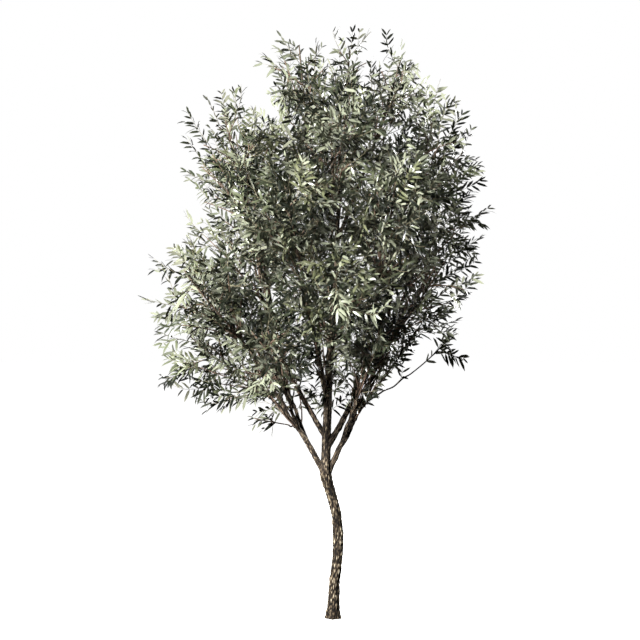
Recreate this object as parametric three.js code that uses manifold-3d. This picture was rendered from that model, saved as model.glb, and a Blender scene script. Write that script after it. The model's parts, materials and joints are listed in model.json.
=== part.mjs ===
// Young olive tree: one slim trunk that sways and forks at chest height, tapering boughs, and a
// crown of separate leafy masses. Millimetres, +Z up, the front of the tree towards -Y.
// The origin is the centre of the flat cut under the trunk, at ground level.

import * as THREE from "three";
import { mergeVertices } from "three/addons/utils/BufferGeometryUtils.js";
import Module from "manifold-3d";

const wasm = await Module();
wasm.setup();

// ---------------------------------------------------------------- driving dimensions, in mm

const SEAT_GAP = 0.3; // between two solids that meet
const UP = new THREE.Vector3(0, 0, 1);
const GOLDEN_ANGLE = Math.PI * (3 - Math.sqrt(5));

const TRUNK = {
  height: 1030,
  sway: 45, // how far the middle bows to the right
  swayPower: 1.34, // over 1 puts the bow above half height
  lean: 57, // how far the fork ends up to the left
  leanPower: 3.3,
  depthSway: 16,
  radius: 38.5,
  taper: 3,
  flare: 21, // what the root flare adds to the radius at the ground
  flareHeight: 75,
  forkSwell: 5,
  lobes: 5, // the feet of the main roots
  lobeDepth: 0.09,
  sides: 12,
  steps: 13,
};

// A limb's radius at its foot follows the pipe rule: it grows with the masses that it carries.
const LIMB = {
  tilt: 30, // from upright, where it leaves its parent, in degrees
  run: 0.42, // how long it keeps that heading, as a share of the way to its mass
  footRadius: 13.5, // of a limb that carries one mass
  pipePower: 0.33,
  tipRadius: 8.5,
  collar: 0.22, // swelling where it leaves its parent
  collarLength: 0.04,
  sides: 5,
  steps: 4,
};

// The crown is tiers of masses round the leader, at even steps of azimuth from the first one.
// spread is how far a tier's centres stand to each side of its axis, and shift moves the axis
// along X. reach is how far a mass's twigs get along X, Y and Z.
const TIERS = {
  low: {
    height: 1900, rise: 50, shift: 0, first: 0, count: 6,
    spread: { right: 560, left: 890, front: 580, back: 580 },
    reach: [400, 380, 430],
  },
  mid: {
    height: 2330, rise: 40, shift: 0, first: 30, count: 6,
    spread: { right: 790, left: 1070, front: 730, back: 730 },
    reach: [430, 400, 410],
  },
  high: {
    height: 2830, rise: 40, shift: 30, first: 0, count: 6,
    spread: { right: 710, left: 650, front: 730, back: 730 },
    reach: [430, 400, 430],
  },
  upper: {
    height: 3310, rise: -20, shift: -10, first: 30, count: 6,
    spread: { right: 760, left: 820, front: 500, back: 500 },
    reach: [410, 400, 450],
  },
  top: {
    height: 3830, rise: -50, shift: 100, first: 0, count: 2,
    spread: { right: 340, left: 330, front: 0, back: 0 },
    reach: [330, 340, 370],
  },
};

// Masses that stand outside the tiers: the crown's tip and two thin shoots below the crown.
const OUTLIERS = {
  top_middle: { centre: [110, 60, 3880], reach: [280, 330, 310], branches: 5 },
  shoot_right: { centre: [770, -20, 1900], reach: [220, 150, 270], branches: 4 },
  shoot_left: { centre: [-495, -40, 1395], reach: [165, 100, 80], branches: 2 },
};

// Each mass hangs on a limb of its own. Here are the limb's parent and the height where it
// leaves it, and tilt, run, foot and tip where they are not the usual ones.
const LIMBS = {
  leader: { parent: "trunk", height: TRUNK.height, feeds: "top_middle", tilt: 2, run: 0.4 },
  bough_low_left: { parent: "trunk", height: 985, tilt: 25 },
  bough_low_right: { parent: "trunk", height: 995, tilt: 24 },
  bough_low_left_front: { parent: "bough_low_left", height: 1330, tilt: 40 },
  bough_low_left_back: { parent: "bough_low_left", height: 1250, tilt: 40 },
  bough_low_right_front: { parent: "bough_low_right", height: 1270, tilt: 38 },
  bough_low_right_back: { parent: "bough_low_right", height: 1210, tilt: 40 },
  bough_mid_left_front: { parent: "bough_low_left", height: 1420, tilt: 30 },
  bough_mid_left_back: { parent: "bough_low_left_back", height: 1480, tilt: 30 },
  bough_mid_front: { parent: "leader", height: 1400, tilt: 34 },
  bough_mid_back: { parent: "leader", height: 1330, tilt: 34 },
  bough_mid_right_front: { parent: "bough_low_right", height: 1400, tilt: 24 },
  bough_mid_right_back: { parent: "bough_low_right", height: 1330, tilt: 26 },
  bough_high_left: { parent: "leader", height: 1270, tilt: 33 },
  bough_high_right: { parent: "leader", height: 1190, tilt: 30 },
  bough_high_left_front: { parent: "leader", height: 1560 },
  bough_high_left_back: { parent: "leader", height: 1490 },
  bough_high_right_front: { parent: "bough_high_right", height: 1620 },
  bough_high_right_back: { parent: "bough_high_right", height: 1540 },
  bough_upper_left_front: { parent: "bough_high_left", height: 1900, tilt: 15 },
  bough_upper_left_back: { parent: "bough_high_left", height: 1800, tilt: 15 },
  bough_upper_right_front: { parent: "bough_high_right", height: 1950, tilt: 12 },
  bough_upper_right_back: { parent: "bough_high_right", height: 1850, tilt: 12 },
  bough_upper_front: { parent: "leader", height: 2250 },
  bough_upper_back: { parent: "leader", height: 2150 },
  bough_top_left: { parent: "leader", height: 2750, tilt: 22 },
  bough_top_right: { parent: "leader", height: 2650, tilt: 22 },
  branch_right: {
    parent: "bough_low_right", height: 1520, feeds: "shoot_right", tilt: 60, foot: 7, tip: 4.5,
  },
  twig_left: {
    parent: "bough_low_left", height: 1345, feeds: "shoot_left", tilt: 70, run: 0.15, foot: 7, tip: 4.5,
  },
};

// A mass's own twigs: one stem, and branches that leave it.
const TWIG = {
  stemTip: 4.5,
  stemReach: 0.42, // how far past the centre of its space the stem ends
  upBias: 0.35, // how much it turns up to the light
  perMass: 5,
  branchReach: 0.52,
  branchFoot: 4.6,
  branchTip: 3.4,
  heading: 0.35, // how much a branch keeps of the stem's direction
  run: 0.45,
  highest: 0.85, // where along the stem the top branch leaves, and the lowest
  lowest: 0.12,
  polarTop: 0.8, // cosine of the angle from the stem, for the top branch and the lowest
  polarLow: -0.6,
  sides: 3,
  steps: 2,
};

// A spray is one leafy shoot, drawn here as a single lance-shaped blade with a keel.
const SPRAY = {
  length: 310,
  shortest: 110,
  width: 115,
  thickness: 6,
  widestAt: 0.4,
  arch: 0.06, // how far the middle rises off the chord, in lengths
  perArea: 34, // sprays for each square metre of a mass's three sections
  ends: 0.97, // how far out in the space their tips aim
  spread: 0.12, // chance in that aim, in radians
  roll: 0.4, // chance in how they are turned, in radians
  shares: [0.3, 0.45, 0.6, 0.75, 0.9, 1], // where along a twig they can grow
  slantCost: 0.8, // for each radian from the twig, against its miss in length
  crowdCost: 0.7, // for each spray that already grows there
  shrinkTries: [1, 0.82, 0.66, 0.5],
};

const CLEARANCE = 5; // from a twig or blade to any limb
const SPACE_MARGIN = 0.03; // between two masses, as a share of their reach

// ---------------------------------------------------------------- finishes

const finish = (color, roughness) =>
  new THREE.MeshStandardMaterial({ color, roughness, metalness: 0 });

const BARK = finish(0x6a5b4b, 0.92);
const BOUGH_BARK = finish(0x5f4f42, 0.85);
const FOLIAGE = finish(0x6f7a64, 0.6);

// ---------------------------------------------------------------- seeded chance

/** A generator of even numbers from 0 to 1 that is the same for the same seed. */
function seeded(seed) {
  let state = seed >>> 0;
  return () => {
    state = (state + 0x6d2b79f5) >>> 0;
    let mixed = Math.imul(state ^ (state >>> 15), state | 1);
    mixed ^= mixed + Math.imul(mixed ^ (mixed >>> 7), mixed | 61);
    return ((mixed ^ (mixed >>> 14)) >>> 0) / 4294967296;
  };
}

// ---------------------------------------------------------------- lines

/** The trunk's centreline: it bows one way, then leans the other towards the fork. */
class TrunkLine extends THREE.Curve {
  getPoint(t, target = new THREE.Vector3()) {
    const bow = Math.sin(Math.PI * t ** TRUNK.swayPower) ** 2;
    return target.set(
      TRUNK.sway * bow - TRUNK.lean * t ** TRUNK.leanPower,
      TRUNK.depthSway * Math.sin(Math.PI * t),
      TRUNK.height * t,
    );
  }
}

/** Where a rising line passes a height, as a share of the line. */
function shareAtHeight(line, height) {
  let low = 0;
  let high = 1;
  for (let i = 0; i < 40; i++) {
    const middle = (low + high) / 2;
    if (line.getPoint(middle).z < height) low = middle;
    else high = middle;
  }
  return high;
}

/** A unit vector square to v. */
function squareTo(v) {
  const other = Math.abs(v.y) < 0.8 ? new THREE.Vector3(0, 1, 0) : new THREE.Vector3(1, 0, 0);
  return other.addScaledVector(v, -other.dot(v)).normalize();
}

/** Unit directions spread evenly round an axis, from polar cosine top to low. */
function evenDirections({ count, axis, twist, top, low, chance }) {
  const first = squareTo(axis);
  const second = axis.clone().cross(first);
  return Array.from({ length: count }, (_, k) => {
    const polar = THREE.MathUtils.lerp(top, low, (k + 0.5) / count);
    const turn = twist + k * GOLDEN_ANGLE + chance();
    const level = Math.sqrt(1 - polar * polar);
    return axis
      .clone()
      .multiplyScalar(polar)
      .addScaledVector(first, level * Math.cos(turn))
      .addScaledVector(second, level * Math.sin(turn));
  });
}

// ---------------------------------------------------------------- spaces of the masses

/** The side of the tree that an azimuth in degrees faces, in words. */
function sideName(azimuth) {
  const x = Math.round(Math.cos(THREE.MathUtils.degToRad(azimuth)) * 10);
  const y = Math.round(Math.sin(THREE.MathUtils.degToRad(azimuth)) * 10);
  const words = [x > 0 ? "right" : x < 0 ? "left" : "", y > 0 ? "back" : y < 0 ? "front" : ""];
  return words.filter(Boolean).join("_");
}

/** The ellipsoid that each mass keeps to, by the mass's name. */
function layOutMasses() {
  const masses = {};
  for (const [tierName, tier] of Object.entries(TIERS)) {
    for (let k = 0; k < tier.count; k++) {
      const azimuth = tier.first + (360 * k) / tier.count;
      const x = Math.cos(THREE.MathUtils.degToRad(azimuth));
      const y = Math.sin(THREE.MathUtils.degToRad(azimuth));
      const { right, left, front, back } = tier.spread;
      masses[`${tierName}_${sideName(azimuth)}`] = {
        centre: new THREE.Vector3(
          tier.shift + x * (x > 0 ? right : left),
          y * (y > 0 ? back : front),
          tier.height + tier.rise * x,
        ),
        reach: new THREE.Vector3(...tier.reach),
        branches: TWIG.perMass,
      };
    }
  }
  for (const [name, outlier] of Object.entries(OUTLIERS)) {
    masses[name] = {
      centre: new THREE.Vector3(...outlier.centre),
      reach: new THREE.Vector3(...outlier.reach),
      branches: outlier.branches,
    };
  }
  return masses;
}

const MASSES = layOutMasses();

/** How far out of a mass's ellipsoid a point is: 0 at its centre, 1 on its surface. */
function outness(space, point) {
  return point.clone().sub(space.centre).divide(space.reach).length();
}

/** The point of a space's surface that faces another point. */
function facing(space, point) {
  const toward = point.clone().sub(space.centre).divide(space.reach).normalize();
  return toward.multiply(space.reach).add(space.centre);
}

/** The distance from a point inside a space to its surface, along a unit direction. */
function roomAlong(space, point, heading) {
  const p = point.clone().sub(space.centre).divide(space.reach);
  const d = heading.clone().divide(space.reach);
  const a = d.dot(d);
  const b = p.dot(d);
  const c = p.dot(p) - 1;
  const root = b * b - a * c;
  return root > 0 ? (Math.sqrt(root) - b) / a : 0;
}

/** True if a point is in its own space, and nearer to it than to any other by a margin. */
function keepsToSpace(space, point) {
  const own = outness(space, point);
  if (own > 1) return false;
  return Object.values(MASSES).every(
    (other) => other === space || own + SPACE_MARGIN < outness(other, point),
  );
}

// ---------------------------------------------------------------- limbs

/** The mass that a limb feeds. */
const massOf = (limbName) => LIMBS[limbName].feeds ?? limbName.replace("bough_", "");

/** How many masses a limb carries, with those of the limbs that leave it. */
function carried(name) {
  const own = LIMBS[name].foot ? 0.2 : 1;
  return Object.keys(LIMBS)
    .filter((other) => LIMBS[other].parent === name)
    .reduce((sum, other) => sum + carried(other), own);
}

/** The centrelines and end radii of the trunk and of every limb, parents first. */
function layOutLimbs() {
  const made = { trunk: { line: new TrunkLine(), foot: TRUNK.radius, tip: TRUNK.radius } };
  for (const [name, spec] of Object.entries(LIMBS)) {
    const space = MASSES[massOf(name)];
    const parent = made[spec.parent].line;
    const foot = parent.getPoint(shareAtHeight(parent, spec.height));
    const way = space.centre.clone().sub(foot);
    const tilt = THREE.MathUtils.degToRad(spec.tilt ?? LIMB.tilt);
    const level = new THREE.Vector3(way.x, way.y, 0).normalize();
    const heading = level.multiplyScalar(Math.sin(tilt)).addScaledVector(UP, Math.cos(tilt));
    const run = (spec.run ?? LIMB.run) * way.length();
    const control = foot.clone().addScaledVector(heading, run);
    made[name] = {
      line: new THREE.QuadraticBezierCurve3(foot, control, facing(space, control)),
      foot: spec.foot ?? LIMB.footRadius * carried(name) ** LIMB.pipePower,
      tip: spec.tip ?? LIMB.tipRadius,
    };
  }
  return made;
}

/** A limb's radius at a share of its length: an even taper with a collar at its foot. */
function limbRadius(limb, t) {
  const collar = 1 + LIMB.collar * Math.exp(-t / LIMB.collarLength);
  return THREE.MathUtils.lerp(limb.foot, limb.tip, t) * collar;
}

/** The trunk's radius at a share of its height, and at an angle round it. */
function trunkRadius(t, angle) {
  const flare = Math.exp((-TRUNK.height * t) / TRUNK.flareHeight);
  const fork = TRUNK.forkSwell * THREE.MathUtils.smoothstep(t, 0.8, 1);
  const round = TRUNK.radius - TRUNK.taper * t + TRUNK.flare * flare + fork;
  return round * (1 + TRUNK.lobeDepth * flare * Math.cos(TRUNK.lobes * angle));
}

// ---------------------------------------------------------------- growth of a mass

/** The stem of a mass: it runs on from the tip of its limb, up into the space. */
function stemOf(space, limb) {
  const heading = limb.line.getTangent(1);
  const foot = limb.line.getPoint(1).addScaledVector(heading, SEAT_GAP);
  const across = space.centre.clone().sub(foot).normalize();
  const unit = across.addScaledVector(UP, TWIG.upBias).normalize();
  const end = unit.multiply(space.reach).multiplyScalar(TWIG.stemReach).add(space.centre);
  const control = foot.clone().addScaledVector(heading, TWIG.run * foot.distanceTo(end));
  return {
    line: new THREE.QuadraticBezierCurve3(foot, control, end),
    foot: limb.tip,
    tip: Math.min(TWIG.stemTip, limb.tip),
  };
}

/** The stretches of every limb and stem that the masses have to stay clear of. */
function obstacles(limbs, stems) {
  const steps = 14;
  const along = (line, radiusAt, owner) =>
    Array.from({ length: steps }, (_, i) => ({
      segment: new THREE.Line3(line.getPoint(i / steps), line.getPoint((i + 1) / steps)),
      radius: radiusAt(i / steps),
      owner,
    }));
  const ofLimbs = Object.entries(limbs).flatMap(([name, limb]) =>
    along(limb.line, name === "trunk" ? (t) => trunkRadius(t, 0) : (t) => limbRadius(limb, t)),
  );
  const ofStems = Object.entries(stems).flatMap(([name, stem]) =>
    along(stem.line, () => stem.foot, name),
  );
  return [...ofLimbs, ...ofStems];
}

/** True if a ball at a point touches no limb, and no stem of another mass. */
function isClear(stretches, owner, point, radius) {
  const nearest = new THREE.Vector3();
  return stretches.every((stretch) => {
    if (stretch.owner === owner) return true;
    stretch.segment.closestPointToPoint(point, true, nearest);
    return nearest.distanceTo(point) > stretch.radius + radius + CLEARANCE;
  });
}

/** A point in the middle of a twig's tube, whose rings are joined by straight stretches. */
function middleOf(line, share) {
  const ring = Math.min(Math.floor(share * TWIG.steps), TWIG.steps - 1);
  const below = line.getPoint(ring / TWIG.steps);
  return below.lerp(line.getPoint((ring + 1) / TWIG.steps), share * TWIG.steps - ring);
}

/** The longest version of a branch that keeps to the space, or null. */
function fitBranch(stem, share, target, fits) {
  const foot = middleOf(stem.line, share);
  for (const shrink of SPRAY.shrinkTries) {
    const end = foot.clone().lerp(target, shrink);
    const way = end.clone().sub(foot);
    const heading = stem.line.getTangent(share).multiplyScalar(TWIG.heading);
    heading.add(way.clone().normalize()).normalize();
    const control = foot.clone().addScaledVector(heading, TWIG.run * way.length());
    const line = new THREE.QuadraticBezierCurve3(foot, control, end);
    const probes = [0.35, 0.55, 0.75, 1].map((t) => line.getPoint(t));
    if (probes.every((point) => fits(point, TWIG.branchFoot))) return line;
  }
  return null;
}

/** The places on the twigs where sprays can grow. */
function rootsOn(twigs) {
  return twigs.flatMap(({ line, tip }) =>
    SPRAY.shares.map((share) => ({
      at: middleOf(line, share),
      tangent: line.getTangent(share),
      sink: share === 1 ? 3 * tip : 0,
      sprays: 0,
    })),
  );
}

/** The root from which a spray reaches a point at its own length and with the least slant. */
function bestRoot(roots, point) {
  const cost = (root) => {
    const away = point.clone().sub(root.at);
    const miss = Math.abs(away.length() - SPRAY.length) / SPRAY.length;
    const slant = SPRAY.slantCost * root.tangent.angleTo(away);
    return miss + slant + SPRAY.crowdCost * root.sprays;
  };
  return roots.reduce((best, root) => (cost(root) < cost(best) ? root : best));
}

/** The longest spray from a root towards a point that keeps to the space, or null. */
function fitSpray(space, root, point, roll, fits) {
  const heading = point.clone().sub(root.at).normalize();
  const start = root.at.clone().addScaledVector(heading, -root.sink);
  const along = root.tangent.clone().addScaledVector(heading, -root.tangent.dot(heading));
  const flat = along.length() > 0.1 ? along.normalize() : squareTo(heading);
  const side = flat.applyAxisAngle(heading, roll);
  const room = SPRAY.ends * roomAlong(space, start, heading);
  for (const shrink of SPRAY.shrinkTries) {
    const length = shrink * Math.min(SPRAY.length + root.sink, room);
    if (length < SPRAY.shortest) return null;
    const half = (SPRAY.width / 2) * (length / SPRAY.length);
    const probe = (t, sideways) =>
      start.clone().addScaledVector(heading, t * length).addScaledVector(side, sideways);
    const middle = [0.25, 0.45, 0.65, 0.85].map((t) => probe(t, 0));
    const edges = [probe(SPRAY.widestAt, half), probe(SPRAY.widestAt, -half), probe(1, 0)];
    if (middle.every((p) => fits(p, half / 2)) && edges.every((p) => fits(p, 2)))
      return { start, heading, side, length };
  }
  return null;
}

/** Everything that grows in one mass: its stem, its branches and its sprays. */
function growMass(name, stem, stretches, seed) {
  const space = MASSES[name];
  const random = seeded(seed);
  const around = (spread) => spread * (2 * random() - 1);
  const inSpace = (unit, reach) =>
    unit.clone().multiply(space.reach).multiplyScalar(reach).add(space.centre);
  const fits = (point, radius) =>
    keepsToSpace(space, point) && isClear(stretches, name, point, radius);
  const axis = stem.line.getPoint(1).sub(stem.line.getPoint(0)).normalize();

  const twigs = [stem];
  evenDirections({
    count: space.branches,
    axis,
    twist: 2 * Math.PI * random(),
    top: TWIG.polarTop,
    low: TWIG.polarLow,
    chance: () => around(0.2),
  }).forEach((unit, k) => {
    const target = inSpace(unit, TWIG.branchReach + around(0.06));
    const down = (k + 0.5) / space.branches;
    const share = THREE.MathUtils.lerp(TWIG.highest, TWIG.lowest, down);
    const line = fitBranch(stem, share, target, fits);
    if (line) twigs.push({ line, foot: TWIG.branchFoot, tip: TWIG.branchTip });
  });

  const roots = rootsOn(twigs);
  const { x, y, z } = space.reach;
  const aims = evenDirections({
    count: Math.round((SPRAY.perArea * (x * y + y * z + z * x)) / 1e6),
    axis,
    twist: 2 * Math.PI * random(),
    top: 1,
    low: -1,
    chance: () => around(SPRAY.spread),
  });
  const sprays = [];
  for (const unit of aims) {
    const point = inSpace(unit, SPRAY.ends);
    const root = bestRoot(roots, point);
    const spray = fitSpray(space, root, point, around(SPRAY.roll), fits);
    if (spray) {
      sprays.push(spray);
      root.sprays += 1;
    }
  }
  return { twigs, sprays };
}

// ---------------------------------------------------------------- solids

/** A closed geometry as a solid for joining and cutting. */
function solid(geometry) {
  const bare = geometry.clone().deleteAttribute("normal").deleteAttribute("uv");
  const merged = mergeVertices(bare, 1e-4);
  return new wasm.Manifold(
    new wasm.Mesh({
      numProp: 3,
      vertProperties: new Float32Array(merged.attributes.position.array),
      triVerts: new Uint32Array(merged.index.array),
    }),
  );
}

/** The geometry of a solid, its largest piece where a cut has left scraps. */
function geometryOf(made) {
  const pieces = made.decompose().sort((a, b) => b.volume() - a.volume());
  const mesh = pieces[0].getMesh();
  return new THREE.BufferGeometry()
    .setAttribute("position", new THREE.BufferAttribute(mesh.vertProperties, 3))
    .setIndex(new THREE.BufferAttribute(mesh.triVerts, 1));
}

/** A tapering tube along a line: a cylinder whose rings are moved onto the line. */
function tube(line, radiusAt, sides, steps, grow = 0) {
  const geometry = new THREE.CylinderGeometry(1, 1, 1, sides, steps);
  const position = geometry.attributes.position;
  const across = squareTo(line.getPoint(1).sub(line.getPoint(0)).normalize());
  for (let i = 0; i < position.count; i++) {
    const share = position.getY(i) + 0.5;
    const tangent = line.getTangent(share);
    const u = across.clone().addScaledVector(tangent, -across.dot(tangent)).normalize();
    const v = u.clone().cross(tangent);
    const angle = Math.atan2(position.getZ(i), position.getX(i));
    const onAxis = position.getX(i) === 0 && position.getZ(i) === 0;
    const radius = onAxis ? 0 : radiusAt(share, angle) + grow;
    const end = (share === 1 ? grow : 0) - (share === 0 ? grow : 0);
    const point = line
      .getPoint(share)
      .addScaledVector(tangent, end)
      .addScaledVector(u, radius * Math.cos(angle))
      .addScaledVector(v, radius * Math.sin(angle));
    position.setXYZ(i, point.x, point.y, point.z);
  }
  return geometry;
}

/** The blade that stands for one spray: two three-sided points with a flat underside. */
function blade({ start, heading, side, length }) {
  const geometry = new THREE.SphereGeometry(1, 3, 2);
  const position = geometry.attributes.position;
  const top = side.clone().cross(heading);
  const width = SPRAY.width * (length / SPRAY.length);
  for (let i = 0; i < position.count; i++) {
    const pole = Math.round(position.getY(i));
    const along = pole === 0 ? SPRAY.widestAt : (pole + 1) / 2;
    const keel = pole === 0 && position.getX(i) < 0;
    const edge = pole === 0 && !keel ? Math.sign(position.getZ(i)) : 0;
    const rise = (pole === 0 ? SPRAY.arch * length : 0) + (keel ? SPRAY.thickness : 0);
    const point = start
      .clone()
      .addScaledVector(heading, along * length)
      .addScaledVector(top, rise)
      .addScaledVector(side, (edge * width) / 2);
    position.setXYZ(i, point.x, point.y, point.z);
  }
  return geometry;
}

/** The trunk's geometry. Its lowest ring is level, for the flat cut. */
function trunkGeometry(grow = 0) {
  const geometry = tube(new TrunkLine(), trunkRadius, TRUNK.sides, TRUNK.steps, grow);
  const position = geometry.attributes.position;
  const lowestRing = (0.5 * TRUNK.height) / TRUNK.steps;
  for (let i = 0; i < position.count; i++)
    if (position.getZ(i) < lowestRing) position.setZ(i, -grow);
  return geometry;
}

/** A limb's geometry, grown by a gap where it is what another limb is cut by. */
function limbGeometry(limb, grow = 0) {
  return tube(limb.line, (t) => limbRadius(limb, t), LIMB.sides, LIMB.steps, grow);
}

/** The solids of the trunk and limbs: each gives way to those made before it. */
function woodSolids(limbs) {
  const made = { trunk: solid(trunkGeometry()) };
  const grown = [solid(trunkGeometry(SEAT_GAP))];
  for (const name of Object.keys(LIMBS)) {
    made[name] = solid(limbGeometry(limbs[name])).subtract(wasm.Manifold.union(grown));
    grown.push(solid(limbGeometry(limbs[name], SEAT_GAP)));
  }
  return made;
}

/** One mass as a single solid: stem, branches and blades fused together. */
function massSolid({ twigs, sprays }) {
  const taper = (twig) => (t) => THREE.MathUtils.lerp(twig.foot, twig.tip, t);
  const tubes = twigs.map((twig) => tube(twig.line, taper(twig), TWIG.sides, TWIG.steps));
  return wasm.Manifold.union([...tubes, ...sprays.map(blade)].map(solid));
}

// ---------------------------------------------------------------- assembly

const tree = new THREE.Group();

function addNode(name, made, material) {
  const mesh = new THREE.Mesh(geometryOf(made), material);
  mesh.name = name;
  tree.add(mesh);
}

const limbs = layOutLimbs();
const wood = woodSolids(limbs);
addNode("trunk", wood.trunk, BARK);
for (const name of Object.keys(LIMBS)) addNode(name, wood[name], BOUGH_BARK);

const stems = {};
for (const name of Object.keys(LIMBS))
  stems[massOf(name)] = stemOf(MASSES[massOf(name)], limbs[name]);

const stretches = obstacles(limbs, stems);
Object.keys(MASSES).forEach((name, index) => {
  addNode(name, massSolid(growMass(name, stems[name], stretches, index + 1)), FOLIAGE);
});

export default tree;
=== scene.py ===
"""Young olive tree, dressed: a barked trunk and boughs, twigs, and leafy shoots in pairs of leaves.

The tree grows by the rule of its CAD source, written again here, in millimetres. The spaces of the
masses, the limbs, the stems, the branches and the sprays come out the same. Sprays are then carried
on to shoots with side shoots and leaves, fewer where the crown is thin, and more shoots fill the
crown. Meshes are in metres, in the frame of the CAD.
"""

import json
import logging
import math
from collections.abc import Callable, Iterator
from dataclasses import dataclass, field
from enum import Enum

import bpy
import numpy as np
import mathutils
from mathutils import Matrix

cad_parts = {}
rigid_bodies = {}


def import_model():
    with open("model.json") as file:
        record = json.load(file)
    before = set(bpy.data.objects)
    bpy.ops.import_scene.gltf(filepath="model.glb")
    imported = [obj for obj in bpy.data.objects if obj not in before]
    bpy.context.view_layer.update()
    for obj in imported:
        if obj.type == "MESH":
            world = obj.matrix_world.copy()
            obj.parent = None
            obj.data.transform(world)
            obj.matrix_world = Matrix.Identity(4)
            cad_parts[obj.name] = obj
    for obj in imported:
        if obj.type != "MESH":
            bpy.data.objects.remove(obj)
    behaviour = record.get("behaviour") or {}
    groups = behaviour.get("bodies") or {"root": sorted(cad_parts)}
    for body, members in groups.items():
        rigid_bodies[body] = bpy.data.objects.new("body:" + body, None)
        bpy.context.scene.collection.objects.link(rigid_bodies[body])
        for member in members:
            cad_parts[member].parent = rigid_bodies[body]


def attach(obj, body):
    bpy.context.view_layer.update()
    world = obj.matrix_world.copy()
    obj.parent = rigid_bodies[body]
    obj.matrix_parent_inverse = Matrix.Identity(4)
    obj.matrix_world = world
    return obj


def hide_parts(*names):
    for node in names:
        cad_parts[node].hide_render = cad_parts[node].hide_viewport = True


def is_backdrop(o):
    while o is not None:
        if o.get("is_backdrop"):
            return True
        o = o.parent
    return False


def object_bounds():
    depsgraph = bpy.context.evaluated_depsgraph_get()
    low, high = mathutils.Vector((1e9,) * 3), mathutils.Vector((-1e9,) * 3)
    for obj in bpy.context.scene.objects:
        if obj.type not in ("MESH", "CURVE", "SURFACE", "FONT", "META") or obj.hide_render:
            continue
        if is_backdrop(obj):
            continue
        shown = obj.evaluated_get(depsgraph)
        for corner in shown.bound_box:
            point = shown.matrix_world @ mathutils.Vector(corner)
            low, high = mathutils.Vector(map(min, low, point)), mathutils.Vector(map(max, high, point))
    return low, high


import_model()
CAD_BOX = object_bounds()

log = logging.getLogger("olive_tree")

MM = 0.001
UP = np.array([0.0, 0.0, 1.0])
LEVEL = np.array([1.0, 1.0, 0.0])
SQUARE_METRE = 1e6
CUBIC_METRE = 1e9
GOLDEN_ANGLE = math.pi * (3 - math.sqrt(5))
BODY = "root"

Vector = np.ndarray
Points = np.ndarray


# ---------------------------------------------------------------- driving dimensions, in mm


@dataclass(frozen=True)
class TrunkRule:
    """The trunk's line and girth, as the CAD source has them."""

    height: float = 1030
    sway: float = 45
    sway_power: float = 1.34
    lean: float = 57
    lean_power: float = 3.3
    depth_sway: float = 16
    radius: float = 38.5
    taper: float = 3
    flare: float = 21
    flare_height: float = 75
    fork_swell: float = 5
    fork_from: float = 0.8
    lobes: int = 5
    lobe_depth: float = 0.09


@dataclass(frozen=True)
class LimbRule:
    """Where one limb leaves its parent and which mass it feeds. Defaults are the CAD's usual values."""

    name: str
    parent: str
    height: float
    tilt: float = 30
    run: float = 0.42
    feeds: str = ""
    foot: float = 0
    tip: float = 8.5

    @property
    def mass(self) -> str:
        """The name of the mass that the limb feeds."""
        return self.feeds or self.name.replace("bough_", "")


@dataclass(frozen=True)
class Tier:
    """Masses at even steps of azimuth round the leader. Spread is right, left, front and back."""

    name: str
    height: float
    rise: float
    shift: float
    first: float
    count: int
    spread: tuple[float, float, float, float]
    reach: tuple[float, float, float]
    fullness: float = 1.0


@dataclass(frozen=True)
class Outlier:
    """A mass that stands outside the tiers."""

    name: str
    centre: tuple[float, float, float]
    reach: tuple[float, float, float]
    branches: int
    fullness: float = 1.0


# how full of shoots a mass is on the crown's outside, where it differs from its tier
FULLNESS = {
    "low_right": 0.0,
    "low_right_front": 0.1,
    "low_right_back": 0.05,
    "low_left": 0.4,
    "low_left_front": 0.2,
    "low_left_back": 0.3,
    "mid_right_front": 0.2,
    "mid_right_back": 0.15,
    "mid_left_back": 0.05,
    "mid_left_front": 0.1,
    "high_right": 0.25,
    "high_left": 0.35,
    "top_left": 0.32,
    "top_right": 0.4,
    "upper_left_front": 0.15,
    "upper_left_back": 0.12,
    "upper_right_front": 0.4,
    "upper_right_back": 0.2,
}

TRUNK = TrunkRule()
FOOT_RADIUS = 13.5
PIPE_POWER = 0.33
# what a limb with a foot of its own counts for beside one that feeds a whole mass
THIN_LIMB_LOAD = 0.2
COLLAR = 0.22
COLLAR_LENGTH = 0.04

TIERS = (
    Tier("low", 1900, 50, 0, 0, 6, (560, 890, 580, 580), (400, 380, 430), 0.8),
    Tier("mid", 2330, 40, 0, 30, 6, (790, 1070, 730, 730), (430, 400, 410), 1.0),
    Tier("high", 2830, 40, 30, 0, 6, (710, 650, 730, 730), (430, 400, 430), 1.0),
    Tier("upper", 3310, -20, -10, 30, 6, (760, 820, 500, 500), (410, 400, 450), 0.8),
    Tier("top", 3830, -50, 100, 0, 2, (340, 330, 0, 0), (330, 340, 370), 0.35),
)

OUTLIERS = (
    Outlier("top_middle", (110, 60, 3880), (280, 330, 310), 5, 0.25),
    Outlier("shoot_right", (770, -20, 1900), (220, 150, 270), 4, 0.7),
    Outlier("shoot_left", (-495, -40, 1395), (165, 100, 80), 2, 0.7),
)

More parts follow.
